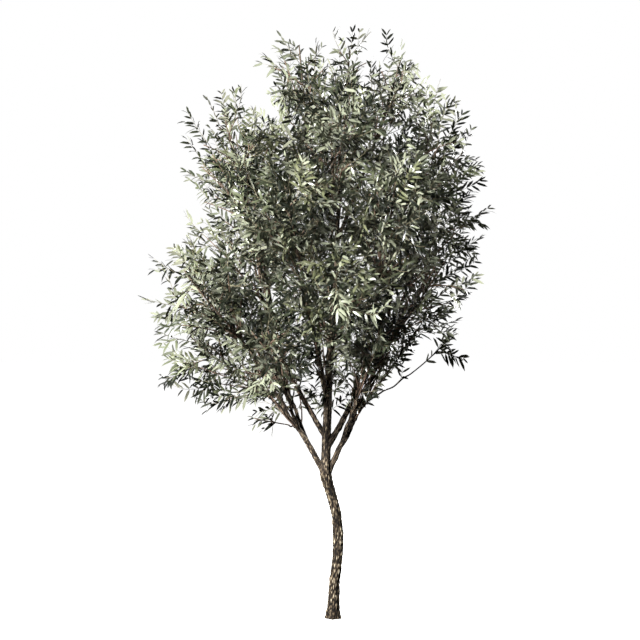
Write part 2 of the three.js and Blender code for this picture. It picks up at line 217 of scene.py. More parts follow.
LIMBS = (
    LimbRule("leader", "trunk", TRUNK.height, tilt=2, run=0.4, feeds="top_middle"),
    LimbRule("bough_low_left", "trunk", 985, tilt=25),
    LimbRule("bough_low_right", "trunk", 995, tilt=24),
    LimbRule("bough_low_left_front", "bough_low_left", 1330, tilt=40),
    LimbRule("bough_low_left_back", "bough_low_left", 1250, tilt=40),
    LimbRule("bough_low_right_front", "bough_low_right", 1270, tilt=38),
    LimbRule("bough_low_right_back", "bough_low_right", 1210, tilt=40),
    LimbRule("bough_mid_left_front", "bough_low_left", 1420),
    LimbRule("bough_mid_left_back", "bough_low_left_back", 1480),
    LimbRule("bough_mid_front", "leader", 1400, tilt=34),
    LimbRule("bough_mid_back", "leader", 1330, tilt=34),
    LimbRule("bough_mid_right_front", "bough_low_right", 1400, tilt=24),
    LimbRule("bough_mid_right_back", "bough_low_right", 1330, tilt=26),
    LimbRule("bough_high_left", "leader", 1270, tilt=33),
    LimbRule("bough_high_right", "leader", 1190),
    LimbRule("bough_high_left_front", "leader", 1560),
    LimbRule("bough_high_left_back", "leader", 1490),
    LimbRule("bough_high_right_front", "bough_high_right", 1620),
    LimbRule("bough_high_right_back", "bough_high_right", 1540),
    LimbRule("bough_upper_left_front", "bough_high_left", 1900, tilt=15),
    LimbRule("bough_upper_left_back", "bough_high_left", 1800, tilt=15),
    LimbRule("bough_upper_right_front", "bough_high_right", 1950, tilt=12),
    LimbRule("bough_upper_right_back", "bough_high_right", 1850, tilt=12),
    LimbRule("bough_upper_front", "leader", 2250),
    LimbRule("bough_upper_back", "leader", 2150),
    LimbRule("bough_top_left", "leader", 2750, tilt=22),
    LimbRule("bough_top_right", "leader", 2650, tilt=22),
    LimbRule("branch_right", "bough_low_right", 1520, tilt=60, feeds="shoot_right", foot=7, tip=4.5),
    LimbRule(
        "twig_left", "bough_low_left", 1345, tilt=70, run=0.15, feeds="shoot_left", foot=7, tip=4.5
    ),
)


@dataclass(frozen=True)
class TwigRule:
    """A mass's stem and the branches that leave it, as the CAD source has them."""

    stem_tip: float = 4.5
    stem_reach: float = 0.42
    up_bias: float = 0.35
    per_mass: int = 5
    branch_reach: float = 0.52
    branch_foot: float = 4.6
    branch_tip: float = 3.4
    heading: float = 0.35
    run: float = 0.45
    highest: float = 0.85
    lowest: float = 0.12
    polar_top: float = 0.8
    polar_low: float = -0.6
    steps: int = 2
    seat_gap: float = 0.3
    turn_spread: float = 0.2
    reach_spread: float = 0.06
    probes: tuple[float, ...] = (0.35, 0.55, 0.75, 1)


@dataclass(frozen=True)
class SprayRule:
    """The places and lengths of the sprays, as the CAD source has them."""

    length: float = 310
    shortest: float = 110
    width: float = 115
    widest_at: float = 0.4
    per_area: float = 34
    ends: float = 0.97
    spread: float = 0.12
    roll: float = 0.4
    shares: tuple[float, ...] = (0.3, 0.45, 0.6, 0.75, 0.9, 1.0)
    slant_cost: float = 0.8
    crowd_cost: float = 0.7
    shrink_tries: tuple[float, ...] = (1, 0.82, 0.66, 0.5)
    sink: float = 3
    least_across: float = 0.1
    probes: tuple[float, ...] = (0.25, 0.45, 0.65, 0.85)
    edge_radius: float = 2


@dataclass(frozen=True)
class ShootRule:
    """How a spray is carried on to a shoot, its side shoots and its pairs of leaves."""

    tip_room: float = 40
    foot_radius: float = 2.6
    tip_radius: float = 0.8
    steps: int = 5
    bare: float = 0.2
    internode: float = 33
    rise: float = 0.22
    side_shoots: int = 3
    side_first: float = 0.25
    side_last: float = 0.75
    side_length: float = 0.5
    side_angle: float = 42
    side_shortest: float = 55
    side_foot_radius: float = 1.4
    side_bare: float = 0.15
    face_up: float = 0.7
    face_out: float = 0.5
    face_spread: float = 0.9
    rise_spread: tuple[float, float] = (0.3, 1.3)
    sway: float = 0.08
    probes: tuple[float, ...] = (0.5, 0.7, 0.85, 1)
    side_turn_spread: float = 0.5
    side_angle_spread: float = 10
    side_lift: float = 0.15
    side_low_length: float = 1.15
    side_fall: float = 0.6
    side_spread: tuple[float, float] = (0.75, 1.25)
    side_carry: float = 0.12
    side_run: float = 0.5
    side_probes: tuple[float, ...] = (0.5, 1)
    side_clearance: float = 3
    least_pairs: int = 2
    pair_spread: float = 0.2
    young_from: float = 0.75
    young_loss: float = 0.25


@dataclass(frozen=True)
class FillRule:
    """Shoots whose tips fill a mass's share of the crown evenly, between its twigs and round them."""

    per_volume: float = 235
    evenness: float = 0.8
    middle: tuple[float, float, float] = (0, 0, 2600)
    inner_fullness: float = 1.1
    outward: float = 200
    rim_share: float = 0.2
    rim_depth: float = 0.45
    open_below: float = 1600
    full_above: float = 2000
    shade_reach: float = 700
    lowest_share: float = 0.08
    low_spacing: float = 150
    low_heights: tuple[float, float] = (1450, 1760)
    low_length: tuple[float, float] = (130, 230)
    riser_heights: tuple[float, float] = (1330, 1780)
    riser_spacing: float = 100
    riser_length: tuple[float, float] = (320, 480)
    riser_foot: float = 6.5
    riser_tip: float = 2.4
    riser_bare: float = 0.6
    spray_margin: float = 0.12
    length: float = 240
    side_shoots: int = 2
    up: float = 0.75
    out: float = 0.45
    wide: float = 1.5
    candidates: int = 5000
    crowd_cost: float = 0.3
    foot_reach: float = 20
    offshoots: int = 9
    offshoot_spacing: float = 220
    offshoot_length: float = 380
    offshoot_foot: float = 5.5
    offshoot_tip: float = 3.0
    offshoot_reach: float = 0.72
    offshoot_ends: tuple[float, ...] = (0.4, 0.55, 0.7, 0.85, 1.0)
    limb_shares: tuple[float, ...] = (0.25, 0.35, 0.45, 0.55, 0.65, 0.75, 0.85)
    tip_clearance: float = 25
    inner_from: float = 0.5
    length_share: float = 1.2
    run: float = 0.45
    heading_spread: float = 0.2
    probes: tuple[float, ...] = (0.3, 0.5, 0.75, 1)
    gap: float = 2
    outlier_bare: float = 0.3
    riser_up: float = 0.8
    riser_along: float = 0.5
    riser_out: float = 0.4
    riser_across: float = 0.3
    riser_lean: float = 0.5
    riser_run: float = 0.4
    low_along: float = 0.6
    low_up: float = 0.3
    low_side_shoots: float = 1.4
    offshoot_along: float = 0.5
    bare_foot: float = 0.2
    looks: int = 17
    end_from: float = 0.7
    end_bare: float = 0.6


@dataclass(frozen=True)
class LeafRule:
    """A leaf: a lance-shaped blade with a raised middle line, in mm and in shares of its length."""

    length: float = 86
    length_spread: float = 0.2
    slimness: float = 4.5
    keel: float = 0.02
    open_angle: float = 56
    tip_angle: float = 26
    angle_spread: float = 11
    twist_spread: float = 38
    droop: float = 0.1
    sag: float = 0.15
    light_bias: float = 0.3
    roll_spread: float = 44
    slack: float = 14
    outlier_slack: float = 60
    proud: float = 55
    tip_radius: float = 1


CLEARANCE = 5
SPACE_MARGIN = 0.03
STRETCHES = 14
FOLIAGE_SEED = 1000
# how tightly the masses' ellipsoids blend into the hull of the crown: lower fills more between them
BLEND = 2.2

TWIG = TwigRule()
SPRAY = SprayRule()
SHOOT = ShootRule()
FILL = FillRule()
LEAF = LeafRule()


# ---------------------------------------------------------------- vectors and lines


def unit(vectors: np.ndarray) -> np.ndarray:
    """Vectors at length 1, along the last axis."""
    return vectors / np.linalg.norm(vectors, axis=-1, keepdims=True)


def outward(point: Vector) -> Vector:
    """The level unit direction from the tree's middle to a point."""
    return unit(point * LEVEL + 1e-6)


def square_to(v: Vector) -> Vector:
    """A unit vector square to v."""
    nearly_along_y = abs(v[1]) >= 0.8
    other = np.array([1.0, 0.0, 0.0]) if nearly_along_y else np.array([0.0, 1.0, 0.0])
    return unit(other - v * (other @ v))


def turned(v: Vector, axis: Vector, angle: float) -> Vector:
    """v turned about a unit axis by an angle in radians."""
    cosine, sine = math.cos(angle), math.sin(angle)
    return v * cosine + np.cross(axis, v) * sine + axis * (axis @ v) * (1 - cosine)


def smooth_step(x: float, low: float, high: float) -> float:
    """0 below low, 1 above high, and an even S between them."""
    share = min(max((x - low) / (high - low), 0.0), 1.0)
    return share * share * (3 - 2 * share)


class Line:
    """A line in space whose points are found by a share from 0 to 1."""

    STEP = 0.0001
    LENGTH_POINTS = 12
    HALVINGS = 40

    def at(self, share: float) -> Vector:
        """The point at a share of the line."""
        raise NotImplementedError

    def heading(self, share: float) -> Vector:
        """The unit direction of the line at a share."""
        low = max(share - self.STEP, 0.0)
        high = min(share + self.STEP, 1.0)
        return unit(self.at(high) - self.at(low))

    def points(self, shares: np.ndarray) -> Points:
        """The points at several shares."""
        return np.array([self.at(float(share)) for share in shares])

    def length(self) -> float:
        """The length of the line."""
        points = self.points(np.linspace(0, 1, self.LENGTH_POINTS))
        return float(np.linalg.norm(np.diff(points, axis=0), axis=1).sum())

    def share_at_height(self, height: float) -> float:
        """Where a rising line passes a height."""
        low, high = 0.0, 1.0
        for _ in range(self.HALVINGS):
            middle = (low + high) / 2
            if self.at(middle)[2] < height:
                low = middle
            else:
                high = middle
        return high


class TrunkLine(Line):
    """The trunk's centreline: it bows one way, then leans the other towards the fork."""

    def at(self, share: float) -> Vector:
        """The point at a share of the trunk's height."""
        bow = math.sin(math.pi * share**TRUNK.sway_power) ** 2
        return np.array(
            [
                TRUNK.sway * bow - TRUNK.lean * share**TRUNK.lean_power,
                TRUNK.depth_sway * math.sin(math.pi * share),
                TRUNK.height * share,
            ]
        )


@dataclass(frozen=True, eq=False)
class Arc(Line):
    """A quadratic curve from start to end, bent towards a control point."""

    start: Vector
    control: Vector
    end: Vector

    def at(self, share: float) -> Vector:
        """The point at a share of the arc."""
        rest = 1 - share
        return rest * rest * self.start + 2 * rest * share * self.control + share * share * self.end

    def points(self, shares: np.ndarray) -> Points:
        """The points at several shares."""
        t = shares[:, None]
        return (1 - t) ** 2 * self.start + 2 * (1 - t) * t * self.control + t**2 * self.end

    def headings(self, shares: np.ndarray) -> Points:
        """The unit directions at several shares."""
        t = shares[:, None]
        return unit((1 - t) * (self.control - self.start) + t * (self.end - self.control) + 1e-9 * UP)


class Chance:
    """Even numbers from 0 to 1 that are the same for the same seed, mixed as in the CAD source."""

    WORD = 0xFFFFFFFF

    def __init__(self, seed: int) -> None:
        self.state = seed & self.WORD

    def draw(self) -> float:
        """The next number."""
        self.state = (self.state + 0x6D2B79F5) & self.WORD
        mixed = ((self.state ^ (self.state >> 15)) * (self.state | 1)) & self.WORD
        mixed ^= (mixed + (mixed ^ (mixed >> 7)) * (mixed | 61)) & self.WORD
        return (mixed ^ (mixed >> 14)) / (self.WORD + 1)

    def around(self, spread: float) -> float:
        """An even number from -spread to spread."""
        return spread * (2 * self.draw() - 1)


def even_directions(
    count: int, axis: Vector, twist: float, top: float, low: float, chance: Callable[[], float]
) -> list[Vector]:
    """Unit directions spread evenly round an axis.

    Args:
        count: How many directions.
        axis: The unit axis.
        twist: The turn of the first one.
        top: The cosine of the angle from the axis for the first one.
        low: The same for the last one.
        chance: Gives a small turn for each direction.

    Returns:
        The directions, from the top one down.
    """
    first = square_to(axis)
    second = np.cross(axis, first)
    found = []
    for k in range(count):
        polar = top + (low - top) * (k + 0.5) / count
        turn = twist + k * GOLDEN_ANGLE + chance()
        level = math.sqrt(1 - polar * polar)
        found.append(axis * polar + first * level * math.cos(turn) + second * level * math.sin(turn))
    return found


# ---------------------------------------------------------------- spaces of the masses


@dataclass(frozen=True, eq=False)
class Space:
    """The ellipsoid that one mass keeps to."""

    index: int
    name: str
    centre: Vector
    reach: Vector
    branches: int
    fullness: float

    def facing(self, point: Vector) -> Vector:
        """The point of the surface that faces another point."""
        return unit((point - self.centre) / self.reach) * self.reach + self.centre

    def room_along(self, point: Vector, heading: Vector) -> float:
        """The distance from a point inside to the surface, along a unit direction."""
        p = (point - self.centre) / self.reach
        d = heading / self.reach
        a, b, c = d @ d, p @ d, p @ p - 1
        root = b * b - a * c
        return (math.sqrt(root) - b) / a if root > 0 else 0.0

    def inside(self, direction: Vector, share: float) -> Vector:
        """The point at a share of the way to the surface, in a unit direction."""
        return direction * self.reach * share + self.centre


def side_name(azimuth: float) -> str:
    """The side of the tree that an azimuth in degrees faces, in words."""
    x = round(math.cos(math.radians(azimuth)) * 10)
    y = round(math.sin(math.radians(azimuth)) * 10)
    across = "right" if x > 0 else "left" if x < 0 else ""
    depth = "back" if y > 0 else "front" if y < 0 else ""
    return "_".join(word for word in (across, depth) if word)


class Crown:
    """All the spaces, and the rule that keeps each mass to its own."""

    def __init__(self) -> None:
        self.spaces: dict[str, Space] = {}
        for tier in TIERS:
            self._add_tier(tier)
        for outlier in OUTLIERS:
            self._add(outlier.name, outlier.centre, outlier.reach, outlier.branches, outlier.fullness)
        self.centres = np.array([space.centre for space in self.spaces.values()])
        self.reaches = np.array([space.reach for space in self.spaces.values()])

    def _add(
        self,
        name: str,
        centre: tuple[float, ...],
        reach: tuple[float, ...],
        branches: int,
        fullness: float,
    ) -> None:
        """Adds one space, numbered in order."""
        index = len(self.spaces)
        self.spaces[name] = Space(
            index, name, np.array(centre, float), np.array(reach, float), branches, fullness
        )

    def _add_tier(self, tier: Tier) -> None:
        """Adds the spaces of one tier."""
        right, left, front, back = tier.spread
        for k in range(tier.count):
            azimuth = tier.first + 360 * k / tier.count
            x = math.cos(math.radians(azimuth))
            y = math.sin(math.radians(azimuth))
            centre = (
                tier.shift + x * (right if x > 0 else left),
                y * (back if y > 0 else front),
                tier.height + tier.rise * x,
            )
            name = f"{tier.name}_{side_name(azimuth)}"
            fullness = FULLNESS.get(name, tier.fullness)
            self._add(name, centre, tier.reach, TWIG.per_mass, fullness)

    def outness(self, points: Points) -> np.ndarray:
        """How far out of each space each point is: 0 at its centre, 1 on its surface."""
        return np.linalg.norm((points[:, None, :] - self.centres) / self.reaches, axis=2)

    def keeps(self, space: Space, points: Points) -> np.ndarray:
        """Which points are in their own space, and nearer to it than to any other by a margin."""
        outness = self.outness(points)
        own = outness[:, space.index].copy()
        outness[:, space.index] = np.inf
        return (own <= 1) & (own + SPACE_MARGIN < outness.min(axis=1))

    def covers(self, space: Space, points: Points, slack: float = 0.0) -> np.ndarray:
        """Which points are in this space's share of the crown's hull.

        The hull is the surface where the spaces, blended into each other, leave off. It passes
        each ellipsoid on the crown's outside and closes the gaps between neighbours.

        Args:
            space: The space whose share it is.
            points: The points.
            slack: How far they may stand proud of it, as a share of the reach.

        Returns:
            One truth value for each point.
        """
        outness = self.outness(points)
        blended = np.exp(BLEND * ((1 + slack) ** 2 - outness**2)).sum(axis=1)
        own = outness[:, space.index].copy()
        outness[:, space.index] = np.inf
        return (blended >= 1) & (own < outness.min(axis=1) + slack)

    def depth(self, points: Points) -> np.ndarray:
        """How deep in the crown's hull each point is: 0 on the hull, about 1 at a mass's centre."""
        return np.log(np.exp(BLEND * (1 - self.outness(points) ** 2)).sum(axis=1)) / BLEND


# ---------------------------------------------------------------- limbs and stems


@dataclass(frozen=True, eq=False)
class Twig:
    """A woody line that tapers from foot to tip, its radii in mm."""

    line: Arc
    foot: float
    tip: float

    def radius_at(self, share: float) -> float:
        """The radius at a share of the line."""
        return self.foot + (self.tip - self.foot) * share


class Limb(Twig):
    """A bough: a twig with a swollen collar where it leaves its parent."""

    def radius_at(self, share: float) -> float:
        """The radius at a share of the limb."""
        return super().radius_at(share) * (1 + COLLAR * math.exp(-share / COLLAR_LENGTH))


def trunk_radius(share: float, angle: float = 0.0) -> float:
    """The trunk's radius at a share of its height and at an angle round it."""
    flare = math.exp(-TRUNK.height * share / TRUNK.flare_height)
    fork = TRUNK.fork_swell * smooth_step(share, TRUNK.fork_from, 1)
    girth = TRUNK.radius - TRUNK.taper * share + TRUNK.flare * flare + fork
    return girth * (1 + TRUNK.lobe_depth * flare * math.cos(TRUNK.lobes * angle))


def carried(name: str) -> float:
    """How many masses a limb carries, with those of the limbs that leave it."""
    own = next(THIN_LIMB_LOAD if rule.foot else 1 for rule in LIMBS if rule.name == name)
    return own + sum(carried(rule.name) for rule in LIMBS if rule.parent == name)


def lay_out_limbs(crown: Crown) -> dict[str, Limb]:
    """The limbs by name, parents first."""
    lines: dict[str, Line] = {"trunk": TrunkLine()}
    limbs = {}
    for rule in LIMBS:
        space = crown.spaces[rule.mass]
        parent = lines[rule.parent]
        foot = parent.at(parent.share_at_height(rule.height))
        way = space.centre - foot
        level = unit(way * LEVEL)
        tilt = math.radians(rule.tilt)
        heading = level * math.sin(tilt) + UP * math.cos(tilt)
        control = foot + heading * rule.run * np.linalg.norm(way)
        lines[rule.name] = Arc(foot, control, space.facing(control))
        girth = rule.foot or FOOT_RADIUS * carried(rule.name) ** PIPE_POWER
        limbs[rule.name] = Limb(lines[rule.name], girth, rule.tip)
    return limbs


def stem_of(space: Space, limb: Limb) -> Twig:
    """The stem of a mass: it runs on from the tip of its limb, up into the space."""
    heading = limb.line.heading(1)
    foot = limb.line.at(1) + heading * TWIG.seat_gap
    way = unit(unit(space.centre - foot) + UP * TWIG.up_bias)
    end = space.inside(way, TWIG.stem_reach)
    control = foot + heading * TWIG.run * np.linalg.norm(end - foot)
    return Twig(Arc(foot, control, end), limb.tip, min(TWIG.stem_tip, limb.tip))


class Obstacles:
    """The stretches of every limb and stem that the masses stay clear of."""

    def __init__(self, limbs: dict[str, Limb], stems: dict[str, Twig]) -> None:
        starts, ends, radii, owners = [], [], [], []
        lines = [(TrunkLine(), trunk_radius, "")]
        lines += [(limb.line, limb.radius_at, "") for limb in limbs.values()]
        lines += [(stem.line, lambda share, stem=stem: stem.foot, name) for name, stem in stems.items()]
        for line, radius_at, owner in lines:
            for i in range(STRETCHES):
                starts.append(line.at(i / STRETCHES))
                ends.append(line.at((i + 1) / STRETCHES))
                radii.append(radius_at(i / STRETCHES))
                owners.append(owner)
        self.starts = np.array(starts)
        self.ways = np.array(ends) - self.starts
        self.radii = np.array(radii)
        self.owners = np.array(owners)

    def clear(self, owner: str, points: Points, radius: float, gap: float = CLEARANCE) -> np.ndarray:
        """Which balls touch no limb and no stem of another mass.

        Args:
            owner: The mass whose own stem doesn't count.
            points: The middles of the balls.
            radius: Their radius.
            gap: The clearance round them.

        Returns:
            One truth value for each point.
        """
        others = self.owners != owner
        starts, ways, radii = self.starts[others], self.ways[others], self.radii[others]
        away = points[:, None, :] - starts
        share = np.clip((away * ways).sum(axis=2) / (ways * ways).sum(axis=1), 0, 1)
        distance = np.linalg.norm(away - share[:, :, None] * ways, axis=2)
        return (distance > radii + radius + gap).all(axis=1)


# ---------------------------------------------------------------- growth of a mass


@dataclass(eq=False)
class Root:
    """A place on a twig where sprays can grow."""

    at: Vector
    tangent: Vector
    sink: float = 0
    sprays: int = 0


def best_root(roots: list[Root], point: Vector, full: float, crowd_cost: float) -> tuple[Root, float]:
    """The root from which a shoot reaches a point at its full length and with the least slant.

    Args:
        roots: The places where shoots can grow.
        point: The point.
        full: The length that a shoot should have.
        crowd_cost: What each shoot that a root bears already adds to its cost.

    Returns:
        The root, and its distance from the point.
    """
    places = np.array([root.at for root in roots])
    tangents = np.array([root.tangent for root in roots])
    crowd = np.array([root.sprays for root in roots])
    away = point - places
    lengths = np.linalg.norm(away, axis=1)
    slant = np.arccos(np.clip((tangents * away).sum(axis=1) / lengths, -1, 1))
    cost = np.abs(lengths - full) / full + SPRAY.slant_cost * slant + crowd_cost * crowd
    best = int(np.argmin(cost))
    return roots[best], float(lengths[best])


@dataclass(frozen=True, eq=False)
class Spray:
    """One leafy shoot's chord: where it starts, where it heads and which way its flat side lies."""

    start: Vector
    heading: Vector
    side: Vector
    length: float


def middle_of(line: Arc, share: float) -> Vector:
    """A point in the middle of the source's twig, whose rings are joined by straight stretches."""
    ring = min(math.floor(share * TWIG.steps), TWIG.steps - 1)
    below, above = line.at(ring / TWIG.steps), line.at((ring + 1) / TWIG.steps)
    return below + (above - below) * (share * TWIG.steps - ring)


class Growth:
    """Everything that grows in one mass, as the CAD source grows it: stem, branches and sprays."""

    def __init__(
        self, crown: Crown, space: Space, limb: Limb, stem: Twig, obstacles: Obstacles
    ) -> None:
        self.crown = crown
        self.space = space
        self.limb = limb
        self.stem = stem
        self.obstacles = obstacles
        self.chance = Chance(space.index + 1)
        self.axis = unit(stem.line.at(1) - stem.line.at(0))
        self.twigs = [stem, *self._branches()]
        self.roots = [
            Root(
                middle_of(twig.line, share),
                twig.line.heading(share),
                SPRAY.sink * twig.tip if share == 1 else 0,
            )
            for twig in self.twigs
            for share in SPRAY.shares
        ]
        self.sprays = self._sprays()

    def _fits(self, points: Points, radius: float) -> bool:
        """True if all the points keep to the space and stay clear of the limbs."""
        in_space = self.crown.keeps(self.space, points).all()
        return bool(in_space and self.obstacles.clear(self.space.name, points, radius).all())

    def _branches(self) -> list[Twig]:
        """The branches that leave the stem."""
        count = self.space.branches
        units = even_directions(
            count,
            self.axis,
            2 * math.pi * self.chance.draw(),
            TWIG.polar_top,
            TWIG.polar_low,
            lambda: self.chance.around(TWIG.turn_spread),
        )
        branches = []
        for k, direction in enumerate(units):
            target = self.space.inside(direction, TWIG.branch_reach + self.chance.around(TWIG.reach_spread))
            share = TWIG.highest + (TWIG.lowest - TWIG.highest) * (k + 0.5) / count
            line = self._fit_branch(share, target)
            if line:
                branches.append(Twig(line, TWIG.branch_foot, TWIG.branch_tip))
        return branches

    def _fit_branch(self, share: float, target: Vector) -> Arc | None:
        """Fits a branch into the space.

        Args:
            share: The place on the stem where it starts.
            target: Where it would end at its full length.

        Returns:
            The longest version that keeps to the space, or None.
        """
        foot = middle_of(self.stem.line, share)
        for shrink in SPRAY.shrink_tries:
            way = (target - foot) * shrink
            heading = unit(self.stem.line.heading(share) * TWIG.heading + unit(way))
            control = foot + heading * TWIG.run * np.linalg.norm(way)
            line = Arc(foot, control, foot + way)
            if self._fits(line.points(np.array(TWIG.probes)), TWIG.branch_foot):
                return line
        return None

    def _sprays(self) -> list[Spray]:
        """Sprays whose tips aim at even steps over the surface of the space."""
        area = self.space.reach @ np.roll(self.space.reach, 1)
        aims = even_directions(
            math.floor(SPRAY.per_area * area / SQUARE_METRE + 0.5),
            self.axis,
            2 * math.pi * self.chance.draw(),
            1,
            -1,
            lambda: self.chance.around(SPRAY.spread),
        )
        sprays = []
        for direction in aims:
            point = self.space.inside(direction, SPRAY.ends)
            root, _ = best_root(self.roots, point, SPRAY.length, SPRAY.crowd_cost)
            spray = self._fit_spray(root, point, self.chance.around(SPRAY.roll))
            if spray:
                sprays.append(spray)
                root.sprays += 1
        return sprays

    def _fit_spray(self, root: Root, point: Vector, roll: float) -> Spray | None:
        """Fits a spray into the space.

        Args:
            root: The place where it starts.
            point: The point that it heads for.
            roll: The turn of its flat side, in radians.

        Returns:
            The longest spray that keeps to the space, or None.
        """
        heading = unit(point - root.at)
        start = root.at - heading * root.sink
        along = root.tangent - heading * (root.tangent @ heading)
        flat = unit(along) if np.linalg.norm(along) > SPRAY.least_across else square_to(heading)
        side = turned(flat, heading, roll)
        room = SPRAY.ends * self.space.room_along(start, heading)
        for shrink in SPRAY.shrink_tries:
            length = shrink * min(SPRAY.length + root.sink, room)
            if length < SPRAY.shortest:
                return None
            half = SPRAY.width / 2 * length / SPRAY.length
            widest = start + heading * SPRAY.widest_at * length
            middle = np.array([start + heading * t * length for t in SPRAY.probes])
            edges = np.array([widest + side * half, widest - side * half, start + heading * length])
            if self._fits(middle, half / 2) and self._fits(edges, SPRAY.edge_radius):
                return Spray(start, heading, side, length)
        return None


# ---------------------------------------------------------------- leaves and shoots of a mass


class LeafTint(Enum):
    """The tints of a leaf's upper side and underside, dealt out by spray: a name and an sRGB hex value."""

    DEEP_OLIVE = "#13170f"
    OLIVE = "#34392a"
    GREY_OLIVE = "#555a44"
    SAGE = "#7b7f6b"
    YELLOW_OLIVE = "#595c43"
    SILVER = "#787b68"
    PALE_SAGE = "#6a6e5c"
    STRAW = "#707160"


TOPS = (LeafTint.DEEP_OLIVE, LeafTint.OLIVE, LeafTint.GREY_OLIVE, LeafTint.SAGE, LeafTint.YELLOW_OLIVE)
TOP_SHARES = (0.4, 0.23, 0.14, 0.15, 0.08)
UNDERSIDES = (LeafTint.SILVER, LeafTint.PALE_SAGE, LeafTint.STRAW)
UNDERSIDE_SHARES = (0.45, 0.4, 0.15)


@dataclass(frozen=True)
class Habit:
    """What the twigs of one spray share.

    Attributes:
        top: The place in TOPS of the tint of its leaves' upper sides.
        underside: The place in UNDERSIDES of that of their undersides.
        slack: How far its leaves may stand proud of the crown's hull, in mm.
    """

    top: int
    underside: int
    slack: float


@dataclass(eq=False)
class Shoots:
    """The shoots of one mass, as twigs, and batches of their leaves, as arrays with a row for each leaf.

    A batch holds the leaves' bases, headings, normals, lengths, and the places of their two tints.
    """

    twigs: list[Twig] = field(default_factory=list)
    batches: list[tuple[np.ndarray, ...]] = field(default_factory=list)

    def leaf_count(self) -> int:
        """How many leaves there are."""
        return sum(len(batch[0]) for batch in self.batches)

    def joined(self) -> list[np.ndarray]:
        """The six arrays of a batch, for all the leaves."""
        return [np.concatenate(parts) for parts in zip(*self.batches)]


